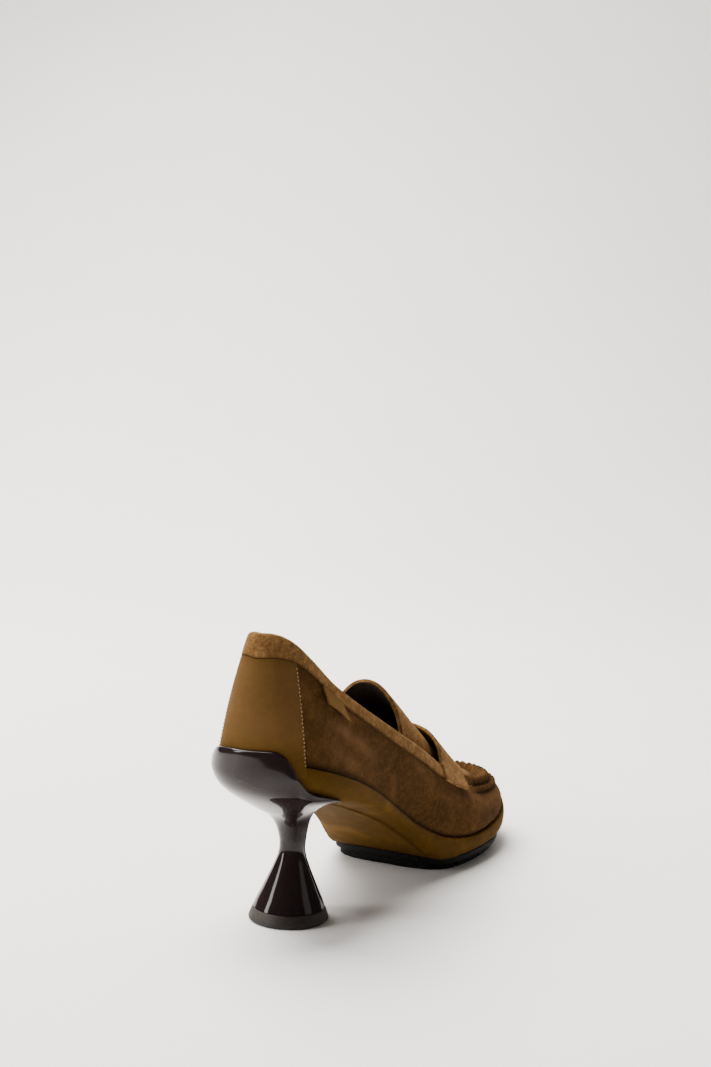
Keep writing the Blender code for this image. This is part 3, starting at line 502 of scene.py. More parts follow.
def wrap_sheet(points, faces, outer, inner):
    """Points, faces and face sides (0 outside, 1 inside, 0 rim) of a sheet given a thickness."""
    points = np.asarray(points, dtype=float)
    normals = sheet_normals(points, faces)
    outside = points + normals * np.broadcast_to(outer, len(points))[:, None]
    inside = points + normals * np.broadcast_to(inner, len(points))[:, None]
    shift = len(points)
    solid = [tuple(face) for face in faces]
    sides = [0] * len(solid)
    solid += [tuple(index + shift for index in reversed(face)) for face in faces]
    sides += [1] * len(faces)
    edges = set()
    for face in faces:
        edges.update(zip(face, face[1:] + face[:1]))
    for a, b in edges:
        if (b, a) not in edges and a != b:
            solid.append((b, a, a + shift, b + shift))
            sides.append(0)
    return np.concatenate([outside, inside]), solid, sides


def dress(obj, node):
    """Rides a piece on the shoe's body, in the place of a node of the part."""
    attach(obj, "root")
    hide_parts(node)
    return obj


def add_to(obj):
    """Rides an extra piece, such as stitches, on the shoe's body."""
    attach(obj, "root")
    return obj


# Node groups and materials

def new_group(name, inputs, outputs):
    """An empty node group with its sockets, and its input and output nodes."""
    tree = bpy.data.node_groups.new(name, "ShaderNodeTree")
    for label, kind, default in inputs:
        socket = tree.interface.new_socket(name=label, in_out="INPUT", socket_type=kind)
        socket.default_value = default
    for label, kind in outputs:
        tree.interface.new_socket(name=label, in_out="OUTPUT", socket_type=kind)
    return tree, tree.nodes.new("NodeGroupInput"), tree.nodes.new("NodeGroupOutput")


def fill_inputs(tree, made, inputs):
    """Gives a node its values, or links, by the names or numbers of its inputs."""
    for key, value in dict(inputs).items():
        if isinstance(value, bpy.types.NodeSocket):
            tree.links.new(value, made.inputs[key])
        else:
            made.inputs[key].default_value = value
    return made


def add_node(tree, kind, inputs=(), **settings):
    """A node with its settings and inputs."""
    made = tree.nodes.new(kind)
    for key, value in settings.items():
        setattr(made, key, value)
    return fill_inputs(tree, made, inputs)


def blend_colour(tree, factor, first, second):
    """The first colour where factor is 0, the second where it is 1."""
    made = add_node(tree, "ShaderNodeMix", {0: factor, 6: first, 7: second}, data_type="RGBA")
    return made.outputs[2]


def math_node(tree, operation, first, second):
    return add_node(tree, "ShaderNodeMath", {0: first, 1: second}, operation=operation).outputs[0]


def spread(tree, value, low, high):
    """Stretches a noise: 0 below low, 1 above high, smooth between."""
    made = add_node(tree, "ShaderNodeMapRange", {0: value, 1: low, 2: high}, interpolation_type="SMOOTHSTEP")
    return made.outputs[0]


def noise(tree, place, scale, detail, roughness=0.5, distortion=0.0):
    """A cloudy noise between 0 and 1."""
    return add_node(tree, "ShaderNodeTexNoise", {"Vector": place, "Scale": scale, "Detail": detail,
                                                 "Roughness": roughness, "Distortion": distortion}).outputs[0]


def nap_group():
    """Suede or nubuck: colour in brushed patches, strokes and fibre, and the height of its nap."""
    tree, given, result = new_group(
        "Nap",
        (("Flat", "NodeSocketColor", (0.1, 0.05, 0.02, 1)), ("Raised", "NodeSocketColor", (0.2, 0.1, 0.05, 1)),
         ("Patch Size", "NodeSocketFloat", 0.02), ("Patches", "NodeSocketFloat", 0.6),
         ("Strokes", "NodeSocketFloat", 0.4), ("Fibre Size", "NodeSocketFloat", 0.0006),
         ("Fibre", "NodeSocketFloat", 0.4)),
        (("Colour", "NodeSocketColor"), ("Height", "NodeSocketFloat")))
    place = add_node(tree, "ShaderNodeTexCoord").outputs["Object"]
    patch_scale = math_node(tree, "DIVIDE", 1.0, given.outputs["Patch Size"])
    fibre_scale = math_node(tree, "DIVIDE", 1.0, given.outputs["Fibre Size"])
    patch = noise(tree, place, patch_scale, 5.0, 0.62, 0.7)
    patch = math_node(tree, "MULTIPLY", spread(tree, patch, 0.44, 0.72), given.outputs["Patches"])
    stretch = add_node(tree, "ShaderNodeMapping", {"Vector": place, "Rotation": (0.35, 0.75, 0.2),
                                                   "Scale": (0.28, 1.0, 1.6)}).outputs[0]
    stroke = noise(tree, stretch, math_node(tree, "MULTIPLY", patch_scale, 4.5), 4.0, 0.65, 0.3)
    stroke = math_node(tree, "MULTIPLY", spread(tree, stroke, 0.46, 0.7), given.outputs["Strokes"])
    fibre = noise(tree, place, fibre_scale, 3.0, 0.7)
    tuft = noise(tree, place, math_node(tree, "MULTIPLY", fibre_scale, 0.28), 4.0, 0.7, 0.5)
    hair = math_node(tree, "MULTIPLY", spread(tree, fibre, 0.4, 0.68), given.outputs["Fibre"])
    clump = math_node(tree, "MULTIPLY", spread(tree, tuft, 0.42, 0.66), given.outputs["Fibre"])
    mask = math_node(tree, "MAXIMUM", patch, stroke)
    mask = math_node(tree, "ADD", mask, math_node(tree, "MULTIPLY", hair, 0.45))
    mask = math_node(tree, "ADD", mask, math_node(tree, "MULTIPLY", clump, 0.4))
    colour = blend_colour(tree, mask, given.outputs["Flat"], given.outputs["Raised"])
    height = math_node(tree, "ADD", math_node(tree, "MULTIPLY", fibre, 0.5), math_node(tree, "MULTIPLY", tuft, 0.8))
    fill_inputs(tree, result, {"Colour": colour, "Height": height})
    return tree


def tone_shift_group():
    """Turns the colour where a piece's tone says so: plus toward the dark colour, for painted shade at seams and
    edges and for dark joints; minus toward the light colour, for brushed nap marks and a painted highlight.
    """
    tree, given, result = new_group(
        "Tone Shift",
        (("Colour", "NodeSocketColor", (0.1, 0.1, 0.1, 1)), ("Dark Colour", "NodeSocketColor", (0.3, 0.2, 0.1, 1)),
         ("Light Colour", "NodeSocketColor", (0.3, 0.2, 0.1, 1))),
        (("Colour", "NodeSocketColor"),))
    tone = add_node(tree, "ShaderNodeAttribute", attribute_name="tone").outputs["Fac"]
    light = blend_colour(tree, math_node(tree, "MULTIPLY", tone, -1.0), given.outputs["Colour"],
                         given.outputs["Light Colour"])
    fill_inputs(tree, result, {"Colour": blend_colour(tree, tone, light, given.outputs["Dark Colour"])})
    return tree


def grain_group():
    """Fine pebble of leather or rubber, with a little dust in its colour."""
    tree, given, result = new_group(
        "Grain",
        (("Colour", "NodeSocketColor", (0.02, 0.02, 0.02, 1)), ("Dust", "NodeSocketColor", (0.1, 0.09, 0.08, 1)),
         ("Dustiness", "NodeSocketFloat", 0.2), ("Pebble Size", "NodeSocketFloat", 0.001),
         ("Low Roughness", "NodeSocketFloat", 0.5), ("High Roughness", "NodeSocketFloat", 0.8)),
        (("Colour", "NodeSocketColor"), ("Height", "NodeSocketFloat"), ("Roughness", "NodeSocketFloat")))
    place = add_node(tree, "ShaderNodeTexCoord").outputs["Object"]
    scale = math_node(tree, "DIVIDE", 1.0, given.outputs["Pebble Size"])
    pebble = add_node(tree, "ShaderNodeTexVoronoi", {"Vector": place, "Scale": scale},
                      feature="SMOOTH_F1").outputs["Distance"]
    cloud = noise(tree, place, 55.0, 5.0, 0.65)
    speck = noise(tree, place, 900.0, 2.0)
    dust = math_node(tree, "MULTIPLY", spread(tree, cloud, 0.42, 0.7), spread(tree, speck, 0.45, 0.66))
    dust = math_node(tree, "MULTIPLY", dust, given.outputs["Dustiness"])
    colour = blend_colour(tree, dust, given.outputs["Colour"], given.outputs["Dust"])
    rough = add_node(tree, "ShaderNodeMapRange", {0: cloud, 1: 0.35, 2: 0.7, 3: given.outputs["Low Roughness"],
                                                  4: given.outputs["High Roughness"]}).outputs[0]
    fill_inputs(tree, result, {"Colour": colour, "Height": pebble, "Roughness": rough})
    return tree


def shared_group(name):
    """A node group of this file, made at its first use."""
    makers = {"Nap": nap_group, "Tone Shift": tone_shift_group, "Grain": grain_group}
    return bpy.data.node_groups.get(name) or makers[name]()


def start_material(name):
    """A new material, its node tree and its shader."""
    material = bpy.data.materials.new(name)
    material.use_nodes = True
    return material, material.node_tree, material.node_tree.nodes["Principled BSDF"]


def place_group(tree, name, values):
    """A shared node group placed in a material, with its values."""
    made = tree.nodes.new("ShaderNodeGroup")
    made.node_tree = shared_group(name)
    return fill_inputs(tree, made, values)


def four(colour, scale=1.0):
    """A colour with its alpha, made lighter or darker."""
    return (colour[0] * scale, colour[1] * scale, colour[2] * scale, 1.0)


def nap_material(name, flat, raised, dark_colour, patches=0.6, strokes=0.4, fibre=0.45, fibre_size=0.0006,
                 patch_size=0.02, relief=0.00035, sheen=0.25, roughness=0.95):
    """Suede or nubuck with brushed patches and a bumped nap; where its tone says so it turns to a dark colour for
    painted shade and dark joints, and to a light colour for brushed marks and painted highlight.
    """
    found = bpy.data.materials.get(name)
    if found:
        return found
    material, tree, shader = start_material(name)
    # Light colour for the brushed nap marks and for the painted highlight on the apron.
    brushed_and_highlight = (raised[0] * 1.7, raised[1] * 1.85, raised[2] * 2.6, 1.0)
    nap = place_group(tree, "Nap", {"Flat": flat, "Raised": raised, "Patch Size": patch_size, "Patches": patches,
                                    "Strokes": strokes, "Fibre": fibre, "Fibre Size": fibre_size})
    edge = place_group(tree, "Tone Shift", {"Colour": nap.outputs["Colour"], "Dark Colour": dark_colour,
                                     "Light Colour": brushed_and_highlight})
    bumps = add_node(tree, "ShaderNodeBump", {"Height": nap.outputs["Height"], "Distance": relief, "Strength": 0.8})
    fill_inputs(tree, shader, {"Base Color": edge.outputs["Colour"], "Normal": bumps.outputs[0],
                               "Roughness": roughness, "Specular IOR Level": 0.05, "Sheen Weight": sheen,
                               "Sheen Roughness": 0.55, "Sheen Tint": four(raised, 2.2)})
    return material


def grain_material(name, colour, dust, dustiness, pebble, rough, relief=0.0001, strength=0.6, specular=0.4):
    """Leather, rubber or lacquer with a fine pebble; rough is its least and greatest roughness."""
    found = bpy.data.materials.get(name)
    if found:
        return found
    material, tree, shader = start_material(name)
    grain = place_group(tree, "Grain", {"Colour": colour, "Dust": dust, "Dustiness": dustiness, "Pebble Size": pebble,
                                        "Low Roughness": rough[0], "High Roughness": rough[1]})
    bumps = add_node(tree, "ShaderNodeBump", {"Height": grain.outputs["Height"], "Distance": relief,
                                              "Strength": strength})
    fill_inputs(tree, shader, {"Base Color": grain.outputs["Colour"], "Roughness": grain.outputs["Roughness"],
                               "Normal": bumps.outputs[0], "Specular IOR Level": specular})
    return material


def suede_material(colours):
    return nap_material("suede", four(colours.suede), four(colours.suede_light), four(colours.suede, 0.22),
                        patches=0.5, strokes=0.3, fibre=0.6, fibre_size=0.0007, patch_size=0.026,
                        relief=0.00045, sheen=0.12)


def binding_material(colours):
    return nap_material("binding_suede", four(colours.binding), four(colours.binding_light),
                        four(colours.binding, 0.2), patches=0.3, strokes=0.25, fibre=0.85,
                        fibre_size=0.0009, patch_size=0.012, relief=0.0007, sheen=0.15)


def nubuck_material(colours):
    return nap_material("nubuck", four(colours.nubuck), four(colours.nubuck, 1.35), four(colours.rand),
                        patches=0.5, strokes=0.2, fibre=0.3, fibre_size=0.0005, patch_size=0.022,
                        relief=0.00012, sheen=0.08, roughness=0.85)


def rand_material(colours):
    return nap_material("rand_nubuck", four(colours.rand, 0.8), four(colours.rand, 1.5), four(colours.rand, 0.35),
                        patches=0.8, strokes=0.3, fibre=0.25, fibre_size=0.0005, patch_size=0.022,
                        relief=0.00012, sheen=0.08, roughness=0.8)


def tab_material(colours):
    return nap_material("tab_nubuck", four(colours.nubuck, 1.25), four(colours.nubuck, 1.9),
                        four(colours.binding, 0.4), patches=0.4, strokes=0.2, fibre=0.3, fibre_size=0.0005,
                        relief=0.00012, sheen=0.1, roughness=0.85)


def cut_edge_material(colours):
    return nap_material("cut_edge", four(colours.binding, 0.8), four(colours.binding_light, 1.1),
                        four(colours.binding_light), patches=0.3, strokes=0.2, fibre=0.9,
                        fibre_size=0.0005, patch_size=0.006, relief=0.0005)


def lining_material(colours):
    return grain_material("lining", four(colours.lining), (0.05, 0.042, 0.036, 1), 0.3, 0.0011, (0.45, 0.7))


def thread_material(colours):
    return grain_material("thread", four(colours.thread), four(colours.thread, 0.5), 0.8, 0.0004, (0.6, 0.8),
                          relief=0.00005, specular=0.25)


def tip_material(colours):
    return grain_material("tip_rubber", four(colours.tip), (0.09, 0.075, 0.062, 1), 0.35, 0.0007, (0.5, 0.7),
                          specular=0.35)


def sole_material(colours):
    return grain_material("sole_rubber", four(colours.rubber), (0.05, 0.046, 0.042, 1), 0.3, 0.0008, (0.6, 0.85),
                          specular=0.12)


def heel_material(colours):
    """Gloss finish with a thin clear coat."""
    material = grain_material("heel_gloss", four(colours.heel), (0.10, 0.09, 0.088, 1.0), 0.03, 0.012, (0.07, 0.13),
                              relief=0.00002, strength=0.25, specular=0.2)
    shader = material.node_tree.nodes["Principled BSDF"]
    shader.inputs["Coat Weight"].default_value = 0.06
    shader.inputs["Coat Roughness"].default_value = 0.06
    return material


def floor_material(colours):
    """Pale floor with faint clouds and marks."""
    material, tree, shader = start_material("studio_floor")
    place = add_node(tree, "ShaderNodeTexCoord").outputs["Object"]
    cloud = noise(tree, place, 6.0, 6.0, 0.6)
    mark = noise(tree, place, 90.0, 3.0, distortion=1.5)
    faint = math_node(tree, "ADD", math_node(tree, "MULTIPLY", spread(tree, cloud, 0.35, 0.75), 0.35),
                      math_node(tree, "MULTIPLY", spread(tree, mark, 0.66, 0.8), 0.5))
    tone = blend_colour(tree, faint, four(colours.floor), four(colours.floor, 0.93))
    fill_inputs(tree, shader, {"Base Color": tone, "Roughness": 0.7, "Specular IOR Level": 0.2})
    return material


# Surfaces of the dressed pieces

SEAM_STEPS = 900
SEARCH_STEP = 2000        # points looked up at a time, to spare memory
FOOT_LIFT = 0.35          # keeps the wall's foot clear of the platform
REAR_FINE = 8             # stations between two sections behind the throat
FRONT_FINE = 26           # and ahead of it, where the seam is gathered
WALL_FINE = tuple(np.linspace(0.0, 0.56, 9)) + tuple(np.linspace(0.6, 1.0, 19))
APRON_HALF = (0.0, 0.01, 0.02, 0.03, 0.042, 0.055, 0.07, 0.09, 0.115, 0.145, 0.18, 0.225, 0.28, 0.34, 0.41)
APRON_FINE = APRON_HALF + (0.5,) + tuple(1 - t for t in reversed(APRON_HALF))
PLATFORM_FINE = tuple(np.linspace(0.1, 0.8, 9)) + tuple(np.linspace(0.84, 1.0, 8))

# The gathered seam's relief, by distance from the seam line: minus down the wall, plus on the apron.
LIP_FROM = -5.4
LIP_SOFT = 0.35
LIP_HIGH = 1.2
SCALLOP = 0.5             # how far the gathers draw the lip's edge up and down
GROOVE_AT = -2.4
GROOVE_DEEP = 0.7
VALLEY_AT = 4.6
VALLEY_DEEP = 2.0
DEEPEST = -1.1            # stays clear of the lining under the suede
GATHERS = ((-4.2, 1.3, 1.0), (0.2, 2.0, 0.7), (2.6, 1.6, 0.5))       # distance, width, share of the pleats
WANDER = ((0.6, 0.37, 0.0), (0.4, 0.83, 1.0))       # strength, radians per millimetre, start of each sway

# Soft troughs in the suede: ring position, height on the wall, lean, half length, half width, depth.
CREASE_COLUMNS = ("u", "v", "lean", "length", "width", "depth")
CREASES = (
    (3.6, 0.62, 0.5, 9.0, 3.2, 0.45), (5.2, 0.42, 0.8, 12.0, 3.6, 0.5), (6.6, 0.6, 0.7, 10.0, 3.0, -0.35),
    (7.9, 0.35, 0.9, 10.0, 3.4, 0.45), (9.4, 0.5, 1.1, 9.0, 3.0, 0.4), (10.9, 0.3, 1.0, 8.0, 3.0, 0.45),
    (12.6, 0.35, 1.3, 7.0, 3.2, 0.4), (31.2, 0.55, -0.6, 10.0, 3.2, 0.45), (28.6, 0.42, -0.8, 11.0, 3.4, 0.5),
    (26.0, 0.4, -1.0, 9.0, 3.0, 0.4), (23.6, 0.32, -1.2, 7.0, 3.0, 0.4),
)
CREASE_BEND = 0.012       # how much a trough curves, per millimetre of its run

# Marks where the nap is brushed light: ring position, height on the wall, lean, half length,
# half width and strength.
BRUSH_COLUMNS = ("u", "v", "lean", "length", "width", "strength")
BRUSHED = (
    (5.2, 0.52, -0.5, 14.0, 2.4, 0.6), (6.0, 0.46, -0.5, 12.0, 2.2, 0.5), (31.0, 0.5, 0.5, 14.0, 2.4, 0.5),
    (27.4, 0.5, 0.6, 12.0, 2.4, 0.3),
)
BRUSHED_SHARE = 0.75
MARK_STEP_U = 0.05        # half steps for the directions of a trough or mark on the wall
MARK_STEP_V = 0.02


def seam_lengths():
    """Ring positions along the apron seam and the distance along it from the throat."""
    u = np.linspace(THROAT, RING - THROAT, SEAM_STEPS)
    steps = np.linalg.norm(np.diff(round_ring(TOP, u), axis=0), axis=1)
    return u, np.concatenate([[0.0], np.cumsum(steps)])


def seam_relief(distance, along, u, sizes):
    """Height of the gathered seam over the plain surface, by distance from its line."""
    wander = sum(strength * np.sin(along * turns + start) for strength, turns, start in WANDER)
    pleat = np.cos(2 * math.pi * along / sizes.pleat_pitch + wander)
    scallop = LIP_FROM + SCALLOP * pleat
    lip = LIP_HIGH * ease(scallop - LIP_SOFT, scallop + LIP_SOFT, distance) * (1 - ease(-1.0, 1.0, distance))
    lip *= 1 + 0.5 * bump(distance, -4.0, 1.2)
    roll = sizes.seam_roll * np.where(distance < 0, ease(GROOVE_AT - 0.3, 0.2, distance),
                                      1 - ease(0.9, 2.6, distance))
    groove = -GROOVE_DEEP * bump(distance, GROOVE_AT, 0.6)
    valley = -VALLEY_DEEP * bump(distance, VALLEY_AT, 2.2)
    gather = sizes.seam_pleat * pleat * sum(share * bump(distance, at, width) for at, width, share in GATHERS)
    return np.maximum(seam_share(u) * (lip + roll + groove + valley + gather), DEEPEST)


def mark_place(points, mark):
    """Distances of wall points from a mark's middle, along its lean and across it."""
    centre = wall_point(mark["u"], mark["v"])
    along = wall_point(mark["u"] + MARK_STEP_U, mark["v"]) - wall_point(mark["u"] - MARK_STEP_U, mark["v"])
    up = wall_point(mark["u"], mark["v"] + MARK_STEP_V) - wall_point(mark["u"], mark["v"] - MARK_STEP_V)
    along /= np.linalg.norm(along)
    up /= np.linalg.norm(up)
    lean = mark["lean"]
    offset = points - centre
    return (offset @ (along * math.cos(lean) + up * math.sin(lean)),
            offset @ (up * math.cos(lean) - along * math.sin(lean)))


def creased(points, sizes):
    """Inward push of the soft troughs at wall points."""
    depth = np.zeros(len(points))
    for row in CREASES:
        crease = dict(zip(CREASE_COLUMNS, row))
        run, side = mark_place(points, crease)
        shape = bump(run, 0.0, crease["length"]) * bump(side - CREASE_BEND * run ** 2, 0.0, crease["width"])
        depth -= crease["depth"] * sizes.crease_depth * shape
    return depth


def brushed(points):
    """Strength of the listed light marks at points of the wall."""
    light = np.zeros(len(points))
    for row in BRUSHED:
        mark = dict(zip(BRUSH_COLUMNS, row))
        run, side = mark_place(points, mark)
        light += mark["strength"] * bump(run, 0.0, mark["length"]) * bump(side, 0.0, mark["width"])
    return np.clip(light, 0.0, 1.0)


def fine_stations():
    """Ring positions of the upper's columns of points, closer together along the gathered seam."""
    rear = np.arange(0, THROAT, 1 / REAR_FINE)
    front = np.linspace(THROAT, RING - THROAT, (RING - 2 * THROAT) * FRONT_FINE + 1)
    return np.concatenate([rear, front, RING - rear[:0:-1]])


def apron_rows(stations, wall_points, rows):
    """Rows of point numbers across the apron, and ring positions and shares of its new points."""
    first = len(np.arange(0, THROAT, 1 / REAR_FINE))
    count = (TOE - THROAT) * FRONT_FINE
    inner = APRON_FINE[1:-1]
    total = wall_points
    lines = []
    line_u = []
    for k in range(count + 1):
        near = (first + k) * rows + rows - 1
        far = (first + 2 * count - k) * rows + rows - 1
        if near == far:
            lines.append([near] * len(APRON_FINE))
            continue
        lines.append([near] + list(range(total, total + len(inner))) + [far])
        total += len(inner)
        line_u += [stations[first + k]] * len(inner)
    return lines, np.array(line_u), np.tile(np.array(inner), len(line_u) // len(inner))


def nearest_on_seam(points, seam_u):
    """Number of the seam's nearest point, in plan, for each point of the apron."""
    edge = round_ring(TOP, seam_u)
    nearest = np.empty(len(points), dtype=int)
    for start in range(0, len(points), SEARCH_STEP):
        part = points[start:start + SEARCH_STEP, None, :2] - edge[None, :, :2]
        nearest[start:start + SEARCH_STEP] = np.argmin((part ** 2).sum(axis=2), axis=1)
    return nearest, np.linalg.norm(points[:, :2] - edge[nearest, :2], axis=1)


def wall_tone(wall, u, v, distance):
    """Painted shade in the wall's seam groove, under the gathered lip, along its foot under the platform's edge and
    beside the counter's edge, and the light brushed marks.
    """
    # Painted shade in the seam groove and under the lip's edge, along the wall's foot under the platform's top edge,
    # and beside the counter's edge; seams holds all of it.
    dark = seam_share(u) * (1.0 * bump(distance, GROOVE_AT, 0.8) + 0.95 * bump(distance, LIP_FROM - LIP_SOFT, 0.6))
    foot_shade = 0.9 * bump(v * wall_length(u), 0.0, 0.7)
    counter_shade = 0.85 * bump(from_back(u), COUNTER_END + 0.03, 0.05) * (1 - ease(0.8, 0.9, v))
    seams = np.clip(np.maximum(dark, np.maximum(foot_shade, counter_shade)), 0.0, 1.0)
    return seams - BRUSHED_SHARE * brushed(wall) * (1 - seams)


def apron_tone(away, u):
    """Painted shade in a dark line inside the apron's roll, and a painted highlight in a lighter band where the suede
    is pulled up.
    """
    # Painted shade in the hollow inside the roll, less a painted highlight on the apron's rise.
    shade = 0.7 * bump(away, 4.2, 1.8) * seam_share(u)
    return np.clip(shade, 0.0, 1.0) - 0.4 * bump(away, 9.0, 3.5) * seam_share(u)


def upper_sheet(sizes):
    """The suede sheet: wall all round, apron across the front, with the seam's relief and tone."""
    stations = fine_stations()
    rows = len(WALL_FINE)
    u, v = np.meshgrid(stations, WALL_FINE, indexing="ij")
    u, v = u.ravel(), v.ravel()
    wall = wall_point(u, v)
    wall[:, 2] += FOOT_LIFT * (1 - v)
    seam_u, seam_run = seam_lengths()
    distance = -(1 - v) * wall_length(u)
    relief = seam_relief(distance, np.interp(u, seam_u, seam_run), u, sizes) + creased(wall, sizes)
    lines, line_u, line_t = apron_rows(stations, len(wall), rows)
    apron = apron_point(line_u, line_t)
    nearest, away = nearest_on_seam(apron, seam_u)
    apron_relief = seam_relief(away, seam_run[nearest], seam_u[nearest], sizes)
    faces = grid_faces(len(stations), rows, closed=True) + row_faces(lines)
    tone = np.concatenate([wall_tone(wall, u, v, distance), apron_tone(away, seam_u[nearest])])
    return np.concatenate([wall, apron]), faces, np.concatenate([relief, apron_relief]), tone


def make_upper(sizes, colours):
    """Suede upper with its lining, as a wall of real thickness."""
    points, faces, relief, tone = upper_sheet(sizes)
    solid_points, solid, sides = wrap_sheet(points, faces, relief, -WALL)
    return make_piece("upper_suede", solid_points, solid, [suede_material(colours), lining_material(colours)],
                      slots=sides, tone=np.concatenate([tone, tone * 0]))


def band_height(u):
    """Height of the collar binding at a ring position, lower along the sides than at the back."""
    share = np.minimum(from_back(np.mod(u, RING)) / BAND_END, 1.0)
    return BAND_BACK + (BAND_SIDE - BAND_BACK) * np.minimum(share * BAND_TAPER, 1.0)


def band_profile(u):
    """Curves along the collar that make the binding's section, from its lower edge over the topline."""
    length = wall_length(u)
    height = band_height(u)
    top = wall_point(u, 1.0)
    normal = wall_normal(u, 1.0)
    inner_edge = wall_point(u, 1 - BAND_INNER / length)
    up = top - inner_edge
    up /= np.linalg.norm(up, axis=1, keepdims=True)
    inner = -WALL - GAP - BAND_THICK
    outer = GAP + BAND_THICK
    low = 1 - height / length
    profile = [wall_point(u, low) + wall_normal(u, low) * (GAP * 0.4),
               wall_point(u, low) + wall_normal(u, low) * outer * 0.75]
    for share in (0.93, 0.82, 0.65, 0.45, 0.25):
        v = 1 - height * share / length
        profile.append(wall_point(u, v) + wall_normal(u, v) * (outer + BAND_PLUMP * math.sin(math.pi * share)))
    for angle in np.linspace(0.0, math.pi, 9):
        rise = math.sin(angle) * (outer + BAND_CROWN) - BAND_SUNK
        profile.append(top + normal * ((outer + inner) / 2 + (outer - inner) / 2 * math.cos(angle)) + up * rise)
    profile.append(inner_edge + normal * inner)
    profile.append(inner_edge + normal * (inner + BAND_THICK))
    profile.append(top + normal * (inner + BAND_THICK) + up * GAP * 0.3)
    profile.append(top + normal * GAP * 0.5 + up * GAP * 0.3)
    return profile


def make_band(colours):
    """Suede binding folded over the topline: a rounded section swept round the collar."""
    u = np.linspace(-BAND_END, BAND_END, 321)
    profile = band_profile(u)
    rows = len(profile)
    points = np.stack(profile, axis=1).reshape(-1, 3)
    faces = []
    for i in range(len(u) - 1):
        for j in range(rows):
            a = i * rows + j
            b = i * rows + (j + 1) % rows
            faces.append((a, a + rows, b + rows, b))
    faces.append(tuple(range(rows)))
    faces.append(tuple(reversed(range((len(u) - 1) * rows, len(u) * rows))))
    tone = np.zeros((len(u), rows))
    # Painted shade along the binding's lower edge.
    tone[:, :3] = BAND_EDGE_SHADE
    return make_piece("collar_binding", points, faces, [binding_material(colours)], crease=60.0, tone=tone.ravel())


def side_offset(u, depth):
    """How far the platform's side stands out of the feather edge at a share of its depth."""
    return PROUD + side_swell(depth) - side_tuck(depth) * (PROUD + round_ring(TUCK, u))


def side_point(u, depth, grow=0.0):
    """A point down the platform's side, at a share of its depth."""
    foot = round_ring(FOOT, u)
    point = foot + outward(u) * (side_offset(u, depth) + grow)[..., None]
    point[..., 2] = foot[..., 2] - depth * (foot[..., 2] - underside(point[..., 0]))
    return point


def make_counter(colours):
    """Nubuck back panel, which runs on over the feather edge on to the platform's side."""
    u = np.linspace(-COUNTER_END, COUNTER_END, 61)
    rows = []
    tone = []
    for depth, over in COUNTER_APRON:
        rows.append(side_point(u, np.full_like(u, depth), over))
        tone.append(np.full_like(u, COUNTER_DARK))
    top = 1 - (band_height(u) + GAP * 0.5) / wall_length(u)
    for share in np.linspace(0.02, 1.0, 22):
        v = top * share
        rows.append(wall_point(u, v) + wall_normal(u, v) * (PROUD + COUNTER_OVER))
        # Darker towards the foot, and a painted shadow of the collar binding just under the panel's top edge.
        shade = max(COUNTER_DARK * (1 - float(ease(0.0, 0.35, share))), 0.55 * float(bump(share, 1.0, 0.04)))
        tone.append(np.full_like(u, shade))
    points = np.stack(rows, axis=1).reshape(-1, 3)
    solid_points, solid, sides = wrap_sheet(points, grid_faces(len(u), len(rows)), 0.0, -COUNTER_THICK)
    shade = np.stack(tone, axis=1).ravel()
    return make_piece("counter_panel", solid_points, solid, [nubuck_material(colours)],
                      tone=np.concatenate([shade, shade]))


def arch_swell(x, t):
    """How far the platform's underside swells under its edges at a place, t from 0 to 1 across."""
    return ARCH_SWELL * min(max((ARCH_END - x) / ARCH_FADE, 0.0), 1.0) * dome(t)


def make_platform(colours):
    """Nubuck-wrapped platform: rings down its side, closed above and below."""
    stations = np.arange(0, RING, 1 / REAR_FINE)
    count = len(stations)
    rings = [side_point(stations, np.full_like(stations, depth)) for depth in (0.0, 0.03) + PLATFORM_FINE]
    rings[0] -= outward(stations) * 0.5
    points = list(np.concatenate(rings))
    faces = ring_faces(len(rings), count)
    shares = np.linspace(0.0, 1.0, 17)
    close_ring(points, faces, 0, count, shares)
    close_ring(points, faces, (len(rings) - 1) * count, count, shares,
               lambda point, t: underside(point[0]) - arch_swell(point[0], t))
    return make_piece("platform_wrap", np.array(points), faces, [rand_material(colours)], crease=60.0,
                      tone=np.zeros(len(points)))


def make_insole(colours):
    """Sock on the insole, inside the wall, a little hollow under the heel."""
    stations = np.arange(0, RING, 1 / REAR_FINE)
    count = len(stations)
    foot = round_ring(FOOT, stations)
    rings = []
    for level, clear in SOCK_LEVELS:
        share = level / (round_ring(TOP, stations)[:, 2] - foot[:, 2])
        lean = np.maximum((wall_normal(stations, share) * outward(stations)).sum(axis=1), 0.5)
        ring = wall_point(stations, share) - outward(stations) * (WALL / lean + clear)[:, None]
        ring[:, 2] = foot[:, 2] + level
        rings.append(ring)
    points = list(np.concatenate(rings))
    faces = ring_faces(len(rings), count)
    shares = np.linspace(0.0, 1.0, 15)
    close_ring(points, faces, 0, count, shares)
    close_ring(points, faces, (len(rings) - 1) * count, count, shares,
               lambda point, t: point[2] - SOCK_HOLLOW * dome(t) * bump(point[0], SOCK_MIDDLE, SOCK_RUN))
    return make_piece("insole_sock", np.array(points), faces, [lining_material(colours)],
                      tone=np.zeros(len(points)))


